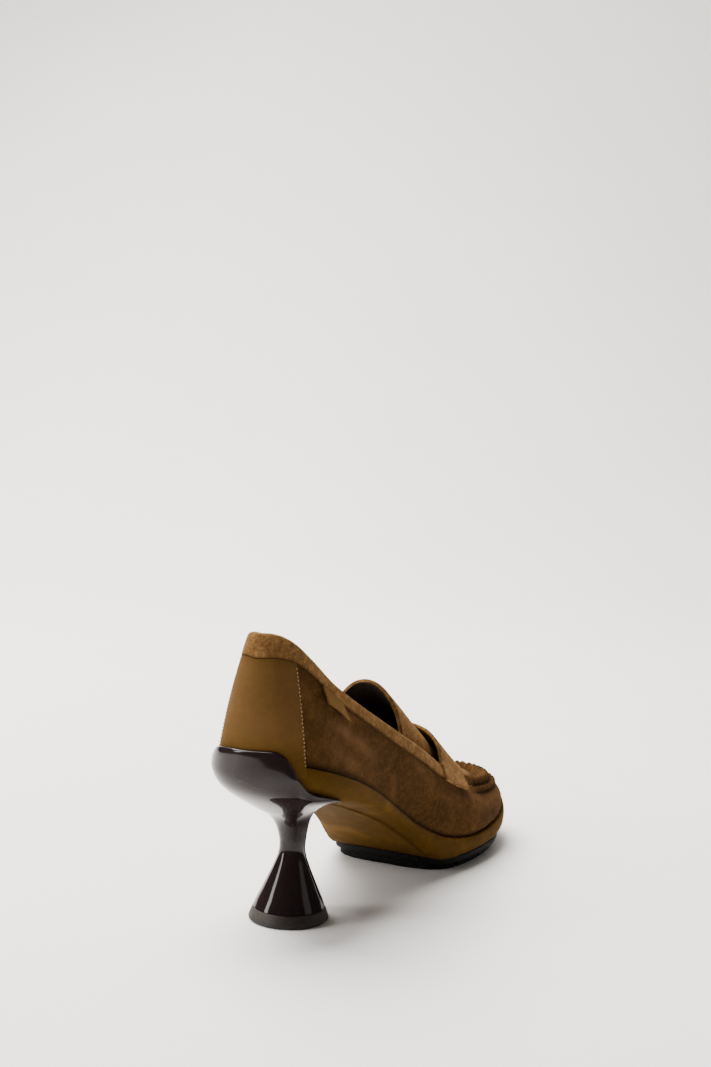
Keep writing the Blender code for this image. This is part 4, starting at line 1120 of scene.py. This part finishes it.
def make_tongue(colours):
    """Arched tongue: suede outside, dark lining inside, with a paler cut rim."""
    x = np.linspace(TONGUE[0][0], TONGUE[-1][0], 45)
    angle = np.linspace(0.0, math.pi, 61)
    xx, aa = np.meshgrid(x, angle, indexing="ij")
    half = tongue_half(xx)
    base = tongue_base(xx)
    points = np.stack([xx, TONGUE_SHIFT - half * np.cos(aa), base + (crest(xx) - base) * np.sin(aa)], axis=-1)
    points = points.reshape(-1, 3)
    faces = grid_faces(len(x), len(angle))
    solid_points, solid, sides = wrap_sheet(points, faces, 0.0, -TONGUE_THICK)
    rear = bump(xx.ravel(), TONGUE[0][0], 1.0)
    piece = make_piece("tongue_sheet", solid_points, solid, [binding_material(colours), lining_material(colours)],
                       crease=50.0, slots=sides, tone=np.concatenate([rear * 0.3, rear * 0]))
    add_bevel(piece, 0.45)
    return piece


def add_bevel(piece, width):
    """Rounds the sharp edges of a piece, for good."""
    modifier = piece.modifiers.new("round", "BEVEL")
    modifier.width = width * MM
    modifier.segments = 2
    modifier.limit_method = "ANGLE"
    modifier.angle_limit = math.radians(50.0)
    settle(piece)


def settle(piece):
    """Replaces a piece's mesh by the one its modifiers make."""
    depsgraph = bpy.context.evaluated_depsgraph_get()
    mesh = bpy.data.meshes.new_from_object(piece.evaluated_get(depsgraph))
    piece.modifiers.clear()
    old = piece.data
    piece.data = mesh
    bpy.data.meshes.remove(old)


def make_strap(colours):
    """Saddle strap over tongue and apron, with thick cut edges."""
    share = np.linspace(0.0, 1.0, 31)
    reach = np.linspace(1 - STRAP_REACH, 1.0, 9)
    u = STRAP_REAR + (STRAP_FRONT - STRAP_REAR) * share
    ends = np.full_like(u, GAP + STRAP_END_LIFT)
    columns = []
    lift = []
    for v in reach:
        taken = 1 - STRAP_END_TAPER * (1.0 - v) / STRAP_REACH
        columns.append(wall_point(STRAP_REAR + (u - STRAP_REAR) * taken, v))
        lift.append(ends)
    for t in np.linspace(0.02, 0.98, 49):
        columns.append(apron_point(u + STRAP_BOW * math.sin(math.pi * t), np.full_like(u, t)))
        lift.append(GAP + STRAP_STAND * (1 - share) ** 2)
    for v in reach[::-1]:
        columns.append(wall_point(RING - u, v))
        lift.append(ends)
    points = np.stack(columns, axis=1).reshape(-1, 3)
    low = np.stack(lift, axis=1).ravel()
    faces = grid_faces(len(share), len(columns))
    solid_points, solid, sides = wrap_sheet(points, faces, low + STRAP_THICK, low)
    piece = make_piece("saddle_strap", solid_points, solid, [binding_material(colours)], crease=50.0,
                       tone=np.zeros(len(solid_points)))
    add_bevel(piece, 0.4)
    return piece


def make_tab(colours):
    """Blank label under the collar binding, with a notched lower edge that stands off the wall."""
    share = np.linspace(0.0, 1.0, 33)
    down = np.linspace(1.0, 0.0, 13)
    u = TAB_SPAN[0] + 0.08 + (TAB_SPAN[1] - TAB_SPAN[0] - 0.2) * share
    length = wall_length(u)
    drop = TAB_DROP * (0.94 + TAB_NOTCH * (2 * share - 1) ** 2)
    rows = []
    lift = []
    for low in down:
        rows.append(wall_point(u, 1 - (band_height(u) - 1.2 + (drop + TAB_TUCKED) * low) / length))
        lift.append(GAP + 0.2 + TAB_STAND * low ** 2 * (1 + share) / 2)
    points = np.stack(rows, axis=1).reshape(-1, 3)
    under = np.stack(lift, axis=1).ravel()
    faces = grid_faces(len(share), len(down))
    solid_points, solid, sides = wrap_sheet(points, faces, under + TAB_THICK, under)
    piece = make_piece("side_tab", solid_points, solid, [tab_material(colours)], crease=50.0,
                       tone=np.zeros(len(solid_points)))
    add_bevel(piece, 0.3)
    return piece


# Heel

def seat_position(angle):
    """Ring position on the back of the shoe at an angle round the middle of the cup."""
    steps = np.linspace(0.0, 6.0, 481)
    point = round_ring(FOOT, steps)
    turns = np.arctan2(np.abs(point[:, 1]), CUP_MIDDLE - point[:, 0])
    return math.copysign(float(np.interp(abs(angle), turns, steps)), angle)


def cup_outline(angle, proud, v=0.0):
    """Outside of the cup at an angle: along the shoe behind its middle, drawn in to a point ahead."""
    if abs(angle) <= math.pi / 2:
        u = seat_position(angle)
        return wall_point(u, v) + outward(u) * proud
    edge = cup_outline(math.copysign(math.pi / 2, angle), proud)
    turn = abs(angle) - math.pi / 2
    half = abs(edge[1]) - CUP_DRAWN_IN * min(turn / CUP_DRAW_TURN, 1.0)
    return np.array([edge[0] + CUP_FRONT * math.sin(turn), math.copysign(half, edge[1]) * math.cos(turn), edge[2]])


def cup_limit(angle):
    """Height of the cup's upper edge at an angle."""
    if abs(angle) <= math.pi / 2:
        return float(cup_edge(math.degrees(angle)))
    tip = float(cup_edge(math.degrees(math.copysign(math.pi / 2, angle))))
    front = float(underside(CUP_MIDDLE + CUP_FRONT)) + CUP_OVERLAP
    return tip + (front - tip) * math.sin(abs(angle) - math.pi / 2)


def bell_height(angle, back, tip):
    """Height of the bell at an angle, from its heights at the back and at the tip."""
    knee = min(KNEE_BACK, cup_limit(angle) - 0.5)
    climb = max((knee - KNEE_TIP) / (KNEE_BACK - KNEE_TIP), 0.0)
    squeeze = (min(knee, KNEE_TIP) - WAIST) / (KNEE_TIP - WAIST)
    return WAIST + (tip - WAIST) * squeeze + (back - tip) * climb


def column_rings(angles):
    """Rings of the turned column, from the heel tip up to the waist."""
    rings = []
    for z in np.linspace(COLUMN[0][0], COLUMN[-1][0], 26):
        radius = float(column_radius(z))
        lean = COLUMN_LEAN * z
        rings.append([np.array([lean - radius * math.cos(a), -radius * math.sin(a), z]) for a in angles])
    return rings


def bell_rings(angles, climbs, prouds):
    """Rings of the bell, from the round waist out to the cup's foot."""
    waist = COLUMN[-1][1]
    rings = []
    for share in np.concatenate([np.linspace(0.01, 0.1, 7), np.linspace(0.13, 0.85, 16), np.linspace(0.88, 1.0, 7)]):
        back, tip = float(bell_back(share)), float(bell_tip(share))
        ring = []
        for a, climb, proud in zip(angles, climbs, prouds):
            z = bell_height(a, back, tip)
            start = np.array([COLUMN_LEAN * z - waist * math.cos(a), -waist * math.sin(a), 0.0])
            point = start * (1 - share) + cup_outline(a, proud + CUP_BULGE * climb) * share
            point[2] = z
            ring.append(point)
        rings.append(ring)
    return rings


def cup_point(a, climb, proud, share, turn):
    """A point up the cup's side at a share of its height, or on its rounded lip at a turn."""
    low, top = bell_height(a, KNEE_BACK, KNEE_TIP), cup_limit(a)
    edge = min(CUP_LIP, top - low)
    z = top - edge + edge * math.sin(turn) if turn else min(low + (top - low) * share, top - edge)
    stand = proud + CUP_BULGE * climb * (1 - ((z - low) / (top - low)) ** 2) - edge * (1 - math.cos(turn))
    rise = 0.0
    if abs(a) <= math.pi / 2:
        u = seat_position(a)
        rise = max(z - float(round_ring(FOOT, u)[2]), 0.0) / float(wall_length(u))
    point = cup_outline(a, stand, rise)
    point[2] = z
    return point


def make_heel(colours):
    """Turned column, bell and cup in one fine surface, cut to the shoe that sits in it."""
    sides = 144
    angles = [2 * math.pi * j / sides - math.pi for j in range(sides)]
    climbs = [bell_height(a, 1.0, 0.0) - bell_height(a, 0.0, 0.0) for a in angles]
    prouds = [float(cup_proud(math.degrees(a))) for a in angles]
    rings = column_rings(angles) + bell_rings(angles, climbs, prouds)
    for share, turn in [(s, 0.0) for s in np.linspace(0.15, 0.9, 6)] + [(1.0, k * math.pi / 8) for k in range(1, 5)]:
        rings.append([cup_point(a, climb, proud, share, turn) for a, climb, proud in zip(angles, climbs, prouds)])
    points = [point for ring in rings for point in ring]
    faces = ring_faces(len(rings), sides)
    faces.append(tuple(range(sides)))
    last = (len(rings) - 1) * sides
    points.append(np.array([CUP_MIDDLE, 0.0, 72.0]))
    for j in range(sides):
        faces.append((last + j, last + (j + 1) % sides, len(points) - 1))
    heel = make_piece("heel_body", np.array(points), faces, [heel_material(colours)], crease=40.0)
    cutter = seat_cutter()
    modifier = heel.modifiers.new("seat", "BOOLEAN")
    modifier.operation = "DIFFERENCE"
    modifier.solver = "EXACT"
    modifier.object = cutter
    settle(heel)
    bpy.data.objects.remove(cutter)
    heel.data.shade_smooth()
    heel.data.set_sharp_from_angle(angle=math.radians(40.0))
    return heel


def seat_cutter():
    """The shoe's back with its clearance: counter wall above, platform below."""
    stations = np.arange(0, RING, 0.25)
    count = len(stations)
    grow = PROUD + GAP
    rings = [wall_point(stations, v) + outward(stations) * grow for v in (0.3, 0.2, 0.1, 0.03)]
    rings += [side_point(stations, np.full_like(stations, d), GAP) for d in (0.0, 0.15, 0.3, 0.5, 0.7, 0.86, 1.0)]
    rings[-1][:, 2] -= GAP
    faces = ring_faces(len(rings), count)
    for first in (0, (len(rings) - 1) * count):
        faces += row_faces([(first + k, first + (count - k) % count) for k in range(count // 2 + 1)])
    return make_piece("seat_cutter", np.concatenate(rings), faces, [])


def make_tip(colours):
    """Rubber top piece, turned, with a rounded foot edge and a small bevel in at its top."""
    sides = 128
    foot_radius = TIP_RADIUS - TIP_ROUND
    profile = [(0.0, 0.0), (0.0, foot_radius)]
    for k in range(1, 6):
        turn = k * math.pi / 10
        profile.append((TIP_ROUND * (1 - math.cos(turn)), foot_radius + TIP_ROUND * math.sin(turn)))
    slope = (TIP_RADIUS - TIP_TOP_RADIUS) / (TIP_HEIGHT - TIP_ROUND)
    for z in (2.6, 4.0, 5.0, 5.3):
        profile.append((z, TIP_RADIUS - slope * (z - TIP_ROUND)))
    profile += [(TIP_HEIGHT, TIP_TOP_RADIUS - 0.35), (TIP_HEIGHT, 0.0)]
    points = []
    for z, radius in profile:
        for j in range(sides):
            a = 2 * math.pi * j / sides
            points.append((COLUMN_LEAN * z + radius * math.cos(a), radius * math.sin(a), z))
    return make_piece("heel_top_piece", np.array(points), ring_faces(len(profile), sides),
                      [tip_material(colours)], crease=50.0)


# Outsole

PAST_THE_TOE = 999.0


def outsole_outline(inset):
    """Plan of the outsole, drawn in by inset, as half widths over x on each side."""
    x = closed_ring(column(OUTSOLE, OUTSOLE_COLUMNS, "x"))
    y = closed_ring(column(OUTSOLE, OUTSOLE_COLUMNS, "lat"), column(OUTSOLE, OUTSOLE_COLUMNS, "med"))
    rows = np.stack([x, y], axis=1)
    u = np.linspace(0, len(rows), 481)
    point = round_ring(rows, u)
    along = round_ring(rows, u + 0.03) - round_ring(rows, u - 0.03)
    side = np.stack([along[:, 1], -along[:, 0]], axis=1) / np.linalg.norm(along, axis=1, keepdims=True)
    return point - side * inset


def half_widths(inset, x):
    """Outer and inner edges of the outsole's plan at places along it."""
    outline = outsole_outline(inset)
    middle = len(outline) // 2
    lateral, medial = outline[:middle + 1], outline[middle:][::-1]
    lat = np.interp(x, *np.maximum.accumulate(lateral[:, :1]).T, lateral[:, 1])
    med = np.interp(x, *np.maximum.accumulate(medial[:, :1]).T, medial[:, 1])
    return lat, med


def outsole_level(x, thickness):
    """Height of the outsole at a thickness under the platform; its tread lies on the floor and rolls up."""
    x = np.asarray(x, dtype=float)
    roll = np.maximum(1.0 - (x - OUTSOLE[0][0]) / REAR_ROLL, 0.0) ** 2 * REAR_ROLL_HIGH
    level = underside(x) - GAP - thickness
    if thickness < OUTSOLE_THICK:
        return level
    return np.where(x > TREAD_FLAT_TO, np.maximum(level, 0.0), roll)


def block_ring(x, ends, edges, shrink, inner):
    """One ring round a block: along its outer edge, across its front, back along its inner edge."""
    lat, med = edges
    xs = np.clip(x, ends[0] + shrink, ends[1] - shrink)
    width = med - lat - 2 * shrink
    front = np.column_stack([np.full(len(inner), xs[-1]), lat[-1] + shrink + inner * width[-1]])
    rear = np.column_stack([np.full(len(inner), xs[0]), lat[0] + shrink + inner[::-1] * width[0]])
    return np.concatenate([np.column_stack([xs, lat + shrink]), front,
                           np.column_stack([xs, med - shrink])[::-1], rear])


def block_rows(points, extra, first, count, length, across):
    """Rows of point numbers across a block's ring; points between its edges go into extra."""
    rows = []
    for k in range(length):
        near = first + k
        far = first + length + len(across) - 2 + length - 1 - k
        if k == length - 1:
            rows.append(list(range(near, near + len(across))))
        elif k == 0:
            rows.append([near] + list(range(first + count - 1, far, -1)) + [far])
        else:
            row = [near]
            for t in across[1:-1]:
                row.append(len(points) + len(extra))
                extra.append(points[near] * (1 - t) + points[far] * t)
            rows.append(row + [far])
    return rows


def slab_block(low_x, high_x, inset, top, bottom, edge):
    """A rounded block of the outsole between two places along it, from top to bottom thickness."""
    plan = outsole_outline(inset)
    ends = (max(low_x, plan[:, 0].min() + 0.02), min(high_x, plan[:, 0].max() - 0.02))
    turn = np.linspace(0.0, math.pi, 41)
    x = (ends[0] + ends[1]) / 2 - (ends[1] - ends[0]) / 2 * np.cos(turn)
    edges = half_widths(inset, x)
    across = (1 - np.cos(np.linspace(0.0, math.pi, 25))) / 2
    levels = ((0.0, top), (0.0, bottom - edge), (edge * 0.3, bottom - edge * 0.3), (edge, bottom))
    rings = []
    for shrink, thickness in levels:
        ring = block_ring(x, ends, edges, shrink, across[1:-1])
        rings.append(np.column_stack([ring, outsole_level(ring[:, 0], thickness)]))
    count = len(rings[0])
    points = np.concatenate(rings)
    faces = ring_faces(len(levels), count)
    extra = []
    for first in (0, (len(levels) - 1) * count):
        faces += row_faces(block_rows(points, extra, first, count, len(x), across))
    return np.concatenate([points, np.array(extra)]), faces


def make_outsole(colours):
    """Forefoot unit: a full upper layer, and four grooves between five set-in lugs."""
    blocks = [slab_block(0.0, PAST_THE_TOE, 0.0, 0.0, LAYER_THICK, 0.5)]
    edges = [0.0]
    for groove in GROOVES:
        edges += [groove - GROOVE_WIDTH / 2, groove + GROOVE_WIDTH / 2]
    edges.append(PAST_THE_TOE)
    for low, high in zip(edges[::2], edges[1::2]):
        blocks.append(slab_block(low, high, LUG_INSET + LUG_TAPER / 2, LAYER_THICK - 0.4, OUTSOLE_THICK, 0.8))
    points = []
    faces = []
    for block_points, block_faces in blocks:
        start = sum(len(p) for p in points)
        points.append(block_points)
        faces += [tuple(index + start for index in face) for face in block_faces]
    return make_piece("outsole_unit", np.concatenate(points), faces, [sole_material(colours)], crease=40.0)


# Stitches

# Share of a thread's length, of its thickness and of its lift, from one hole to the next.
THREAD_SHAPE = ((-0.5, 0.35, -0.7), (-0.36, 0.85, 0.1), (0.0, 1.0, 0.55), (0.36, 0.85, 0.1), (0.5, 0.35, -0.7))
THREAD_SWAY = 0.012
STITCH_INSET = 0.055      # from the counter's side edge, in ring positions
STITCH_FOOT = 0.9         # first stitch over the feather edge, and last under the binding
STITCH_TOP = 0.6


def stitch_mesh(centres, directions, ups, length, radius):
    """Short threads, each a rounded bar from one hole to the next, sunk at its ends."""
    points = []
    faces = []
    sides = 6
    for centre, along, up in zip(centres, directions, ups):
        along = along / np.linalg.norm(along)
        side = np.cross(up, along)
        side /= np.linalg.norm(side)
        up = np.cross(along, side)
        start = len(points)
        for reach, thick, lift in THREAD_SHAPE:
            middle = centre + along * reach * length + up * lift * radius
            for k in range(sides):
                turn = 2 * math.pi * k / sides
                points.append(middle + (side * math.cos(turn) + up * math.sin(turn)) * radius * thick)
        faces += ring_faces(len(THREAD_SHAPE), sides, start)
        faces.append(tuple(start + k for k in range(sides)))
        faces.append(tuple(start + (len(THREAD_SHAPE) - 1) * sides + k for k in reversed(range(sides))))
    return np.array(points), faces


def counter_stitches(sizes, colours):
    """Two rows of short stitches up the counter's side edges."""
    centres = []
    directions = []
    ups = []
    for sign in (1, -1):
        edge = sign * (COUNTER_END - STITCH_INSET)
        length = float(wall_length(edge))
        top = length - float(band_height(np.array(edge))) - STITCH_TOP
        count = int(top / sizes.stitch_pitch)
        for k in range(count):
            v = (STITCH_FOOT + k * sizes.stitch_pitch) / length
            sway = sign * THREAD_SWAY * (-1) ** k
            centre = wall_point(edge + sway, v) + wall_normal(edge + sway, v) * (PROUD + 0.14)
            ahead = wall_point(edge - sway * 0.6, v + 0.01) - wall_point(edge + sway * 0.6, v - 0.01)
            centres.append(centre)
            directions.append(ahead)
            ups.append(wall_normal(edge, v))
    points, faces = stitch_mesh(centres, directions, ups, sizes.stitch_pitch * 0.6, sizes.stitch_radius)
    return make_piece("counter_stitches", points, faces, [thread_material(colours)])


def seam_stitches(sizes, colours):
    """Stitches in the groove under the apron's roll, one to each gather."""
    seam_u, seam_run = seam_lengths()
    first = np.interp(SEAM_START, seam_u, seam_run)
    last = np.interp(RING - SEAM_START, seam_u, seam_run)
    runs = np.arange(first, last, sizes.pleat_pitch / 2)
    u = np.interp(runs, seam_run, seam_u)
    length = wall_length(u)
    v = 1 + GROOVE_AT / length
    normal = wall_normal(u, v)
    centres = wall_point(u, v) + normal * 0.35
    directions = wall_point(u + 0.02, v) - wall_point(u - 0.02, v)
    points, faces = stitch_mesh(centres, directions, normal, sizes.pleat_pitch * 0.34, sizes.stitch_radius)
    return make_piece("apron_seam_stitches", points, faces, [cut_edge_material(colours)])


# The joint under the platform: its line in plan, and its section as offsets and lifts.
SEAM_LINE = ((20.0, -8.0), (45.0, -16.0), (70.0, -22.0), (90.0, -27.0))
SEAM_OFFSETS = (-1.3, -0.5, -0.12, 0.12, 0.5, 1.3)
SEAM_LIFTS = (0.02, 0.38, -0.1, -0.1, 0.34, 0.02)
SEAM_TONES = (0.3, 0.1, 1.0, 1.0, 0.1, 0.3)
ARCH_HALF = 27.0


def under_seam(colours):
    """Joint of the platform's wrapping, along its underside through the arch."""
    along = np.array(SEAM_LINE)
    x = np.linspace(along[0, 0], along[-1, 0], 60)
    y = np.interp(x, along[:, 0], along[:, 1])
    points = []
    for px, py in zip(x, y):
        for offset, lift in zip(SEAM_OFFSETS, SEAM_LIFTS):
            t = (py + offset + ARCH_HALF) / (2 * ARCH_HALF)
            z = float(underside(px)) - arch_swell(px, t)
            points.append((px, py + offset, z - lift - 0.05))
    faces = grid_faces(len(x), len(SEAM_OFFSETS))
    solid_points, solid, sides = wrap_sheet(np.array(points), faces, 0.05, -0.05)
    tone = np.tile(np.array(SEAM_TONES), len(x))
    return make_piece("platform_seam", solid_points, solid, [rand_material(colours)],
                      tone=np.concatenate([tone, tone]))


# Studio

# The photograph's camera, in metres, degrees and millimetres of lens.
CAMERA_HEIGHT = 0.2405
CAMERA_DISTANCE = 0.7107
CAMERA_ASIDE = 0.0237
CAMERA_YAW = -63.8
CAMERA_PITCH = 5.65
CAMERA_ROLL = 1.98
CAMERA_LENS = 56.18
SENSOR_HEIGHT = 36.0

# Floor and lamps, in metres and watts
FLOOR_FROM = -0.8
FLOOR_TO = 0.9
FLOOR_HALF = 1.5
SWEEP_RADIUS = 0.9
BACKDROP_HIGH = 3.0
SHOE_MIDDLE = (0.06, 0.0, 0.06)
WARM = (1.0, 0.97, 0.94)
BACKDROP_WARM = (1.0, 0.90, 0.80)
WORLD_WARM = (1.0, 0.96, 0.92, 1.0)
WORLD_STRENGTH = 0.07


def make_camera():
    """Camera at the photograph's angle: turned to the shoe's outer side, tipped down, rolled."""
    yaw = math.radians(CAMERA_YAW)
    pitch = math.radians(CAMERA_PITCH)
    roll = math.radians(CAMERA_ROLL)
    level_right = Vector((math.cos(yaw), math.sin(yaw), 0.0))
    level_ahead = Vector((-math.sin(yaw), math.cos(yaw), 0.0))
    up = Vector((0.0, 0.0, 1.0))
    place = level_right * CAMERA_ASIDE - level_ahead * CAMERA_DISTANCE + up * CAMERA_HEIGHT
    ahead = level_ahead * math.cos(pitch) - up * math.sin(pitch)
    upright = level_ahead * math.sin(pitch) + up * math.cos(pitch)
    right = level_right * math.cos(roll) + upright * math.sin(roll)
    above = upright * math.cos(roll) - level_right * math.sin(roll)
    data = bpy.data.cameras.new("photo_camera")
    data.sensor_fit = "VERTICAL"
    data.sensor_height = SENSOR_HEIGHT
    data.lens = CAMERA_LENS
    data.clip_start = 0.01
    camera = bpy.data.objects.new("photo_camera", data)
    bpy.context.scene.collection.objects.link(camera)
    camera.matrix_world = Matrix((
        (right.x, above.x, -ahead.x, place.x),
        (right.y, above.y, -ahead.y, place.y),
        (right.z, above.z, -ahead.z, place.z),
        (0.0, 0.0, 0.0, 1.0)))
    bpy.context.scene.camera = camera
    return level_right, level_ahead


def make_floor(ahead, colours):
    """Pale floor that sweeps up into a backdrop behind the shoe."""
    right = Vector((ahead.y, -ahead.x, 0.0))
    profile = [(FLOOR_FROM, 0.0), (0.0, 0.0), (0.5, 0.0), (FLOOR_TO, 0.0)]
    for k in range(1, 17):
        turn = k * math.pi / 32
        profile.append((FLOOR_TO + SWEEP_RADIUS * math.sin(turn), SWEEP_RADIUS * (1 - math.cos(turn))))
    profile.append((FLOOR_TO + SWEEP_RADIUS, BACKDROP_HIGH))
    points = []
    for along, height in profile:
        for aside in np.linspace(-FLOOR_HALF, FLOOR_HALF, 7):
            place = ahead * along + right * float(aside)
            points.append((place.x / MM, place.y / MM, height / MM))
    floor = make_piece("studio_sweep", np.array(points), grid_faces(len(profile), 7), [floor_material(colours)])


def add_light(name, place, target, size, power, tint=WARM):
    """A soft rectangular lamp, turned to its target."""
    data = bpy.data.lights.new(name, "AREA")
    data.shape = "RECTANGLE"
    data.size, data.size_y = size
    data.energy = power
    data.color = tint
    light = bpy.data.objects.new(name, data)
    bpy.context.scene.collection.objects.link(light)
    light.location = place
    light.rotation_euler = (Vector(target) - Vector(place)).to_track_quat("-Z", "Y").to_euler()


def make_lights(right, ahead):
    """Soft overhead panel, a tall panel to the left, two behind, and a low fill from the right."""
    up = Vector((0.0, 0.0, 1.0))
    add_light("overhead", ahead * 0.5 - right * 0.45 + up * 1.45, SHOE_MIDDLE, (1.3, 1.3), 92.0)
    add_light("left_panel", right * -1.3 - ahead * 0.3 + up * 0.7, SHOE_MIDDLE, (0.3, 1.2), 19.0)
    add_light("back_panel", right * -0.5 + ahead * 1.2 + up * 1.3, SHOE_MIDDLE, (1.0, 0.7), 14.0)
    add_light("backdrop_panel", ahead * 0.7 + up * 2.2, ahead * 1.8 + up * 0.7, (2.4, 0.6), 16.0, BACKDROP_WARM)
    add_light("right_fill", right * 1.4 - ahead * 0.5 + up * 0.9, SHOE_MIDDLE, (0.7, 0.9), 2.0)
    world = bpy.data.worlds.new("studio")
    world.use_nodes = True
    ground = world.node_tree.nodes["Background"]
    ground.inputs[0].default_value = WORLD_WARM
    ground.inputs[1].default_value = WORLD_STRENGTH
    bpy.context.scene.world = world


# Operators

class PUMP_OT_upper(bpy.types.Operator):
    """Build the suede upper with its gathered apron seam, and the seam's stitches"""
    bl_idname = "pump.upper"
    bl_label = "Upper"

    def execute(self, context):
        sizes, colours = context.scene.pump_sizes, context.scene.pump_colours
        dress(make_upper(sizes, colours), "upper")
        add_to(seam_stitches(sizes, colours))
        return {"FINISHED"}


class PUMP_OT_collar(bpy.types.Operator):
    """Build the counter with its stitches, the collar binding and the blank tab"""
    bl_idname = "pump.collar"
    bl_label = "Counter, binding and tab"

    def execute(self, context):
        sizes, colours = context.scene.pump_sizes, context.scene.pump_colours
        dress(make_counter(colours), "counter")
        dress(make_band(colours), "collar_band")
        dress(make_tab(colours), "tab")
        add_to(counter_stitches(sizes, colours))
        return {"FINISHED"}


class PUMP_OT_saddle(bpy.types.Operator):
    """Build the tongue and the saddle strap over it"""
    bl_idname = "pump.saddle"
    bl_label = "Tongue and strap"

    def execute(self, context):
        colours = context.scene.pump_colours
        dress(make_tongue(colours), "tongue")
        dress(make_strap(colours), "strap")
        return {"FINISHED"}


class PUMP_OT_bottom(bpy.types.Operator):
    """Build the insole, the wrapped platform with its seam, and the outsole"""
    bl_idname = "pump.bottom"
    bl_label = "Insole, platform and outsole"

    def execute(self, context):
        colours = context.scene.pump_colours
        dress(make_insole(colours), "insole")
        dress(make_platform(colours), "platform")
        dress(make_outsole(colours), "outsole")
        add_to(under_seam(colours))
        return {"FINISHED"}


class PUMP_OT_heel(bpy.types.Operator):
    """Build the glossy heel and its rubber top piece"""
    bl_idname = "pump.heel"
    bl_label = "Heel"

    def execute(self, context):
        colours = context.scene.pump_colours
        dress(make_heel(colours), "heel")
        dress(make_tip(colours), "heel_tip")
        return {"FINISHED"}


class PUMP_OT_stage(bpy.types.Operator):
    """Build the camera, the pale floor and the soft lights"""
    bl_idname = "pump.stage"
    bl_label = "Studio"

    def execute(self, context):
        right, ahead = make_camera()
        make_floor(ahead, context.scene.pump_colours)
        make_lights(right, ahead)
        return {"FINISHED"}


class PUMP_PT_panel(bpy.types.Panel):
    """Lists the pieces of the pump and the values that shape them"""
    bl_idname = "PUMP_PT_panel"
    bl_label = "Loafer pump"
    bl_space_type = "VIEW_3D"
    bl_region_type = "UI"
    bl_category = "Pump"

    def draw(self, context):
        for group in (context.scene.pump_sizes, context.scene.pump_colours):
            box = self.layout.box()
            for name in group.bl_rna.properties.keys():
                if name not in ("rna_type", "name"):
                    box.prop(group, name)
        for operator in PIECES + (PUMP_OT_stage,):
            self.layout.operator(operator.bl_idname)


PIECES = (PUMP_OT_upper, PUMP_OT_collar, PUMP_OT_saddle, PUMP_OT_bottom, PUMP_OT_heel)
CLASSES = (PumpSizes, PumpColours) + PIECES + (PUMP_OT_stage, PUMP_PT_panel)


def register():
    for kind in CLASSES:
        bpy.utils.register_class(kind)
    bpy.types.Scene.pump_sizes = PointerProperty(type=PumpSizes)
    bpy.types.Scene.pump_colours = PointerProperty(type=PumpColours)


def unregister():
    del bpy.types.Scene.pump_colours
    del bpy.types.Scene.pump_sizes
    for kind in reversed(CLASSES):
        bpy.utils.unregister_class(kind)


def main():
    register()
    bpy.ops.pump.stage()
    bpy.ops.pump.upper()
    bpy.ops.pump.collar()
    bpy.ops.pump.saddle()
    bpy.ops.pump.bottom()
    bpy.ops.pump.heel()


if __name__ == "__main__":
    main()
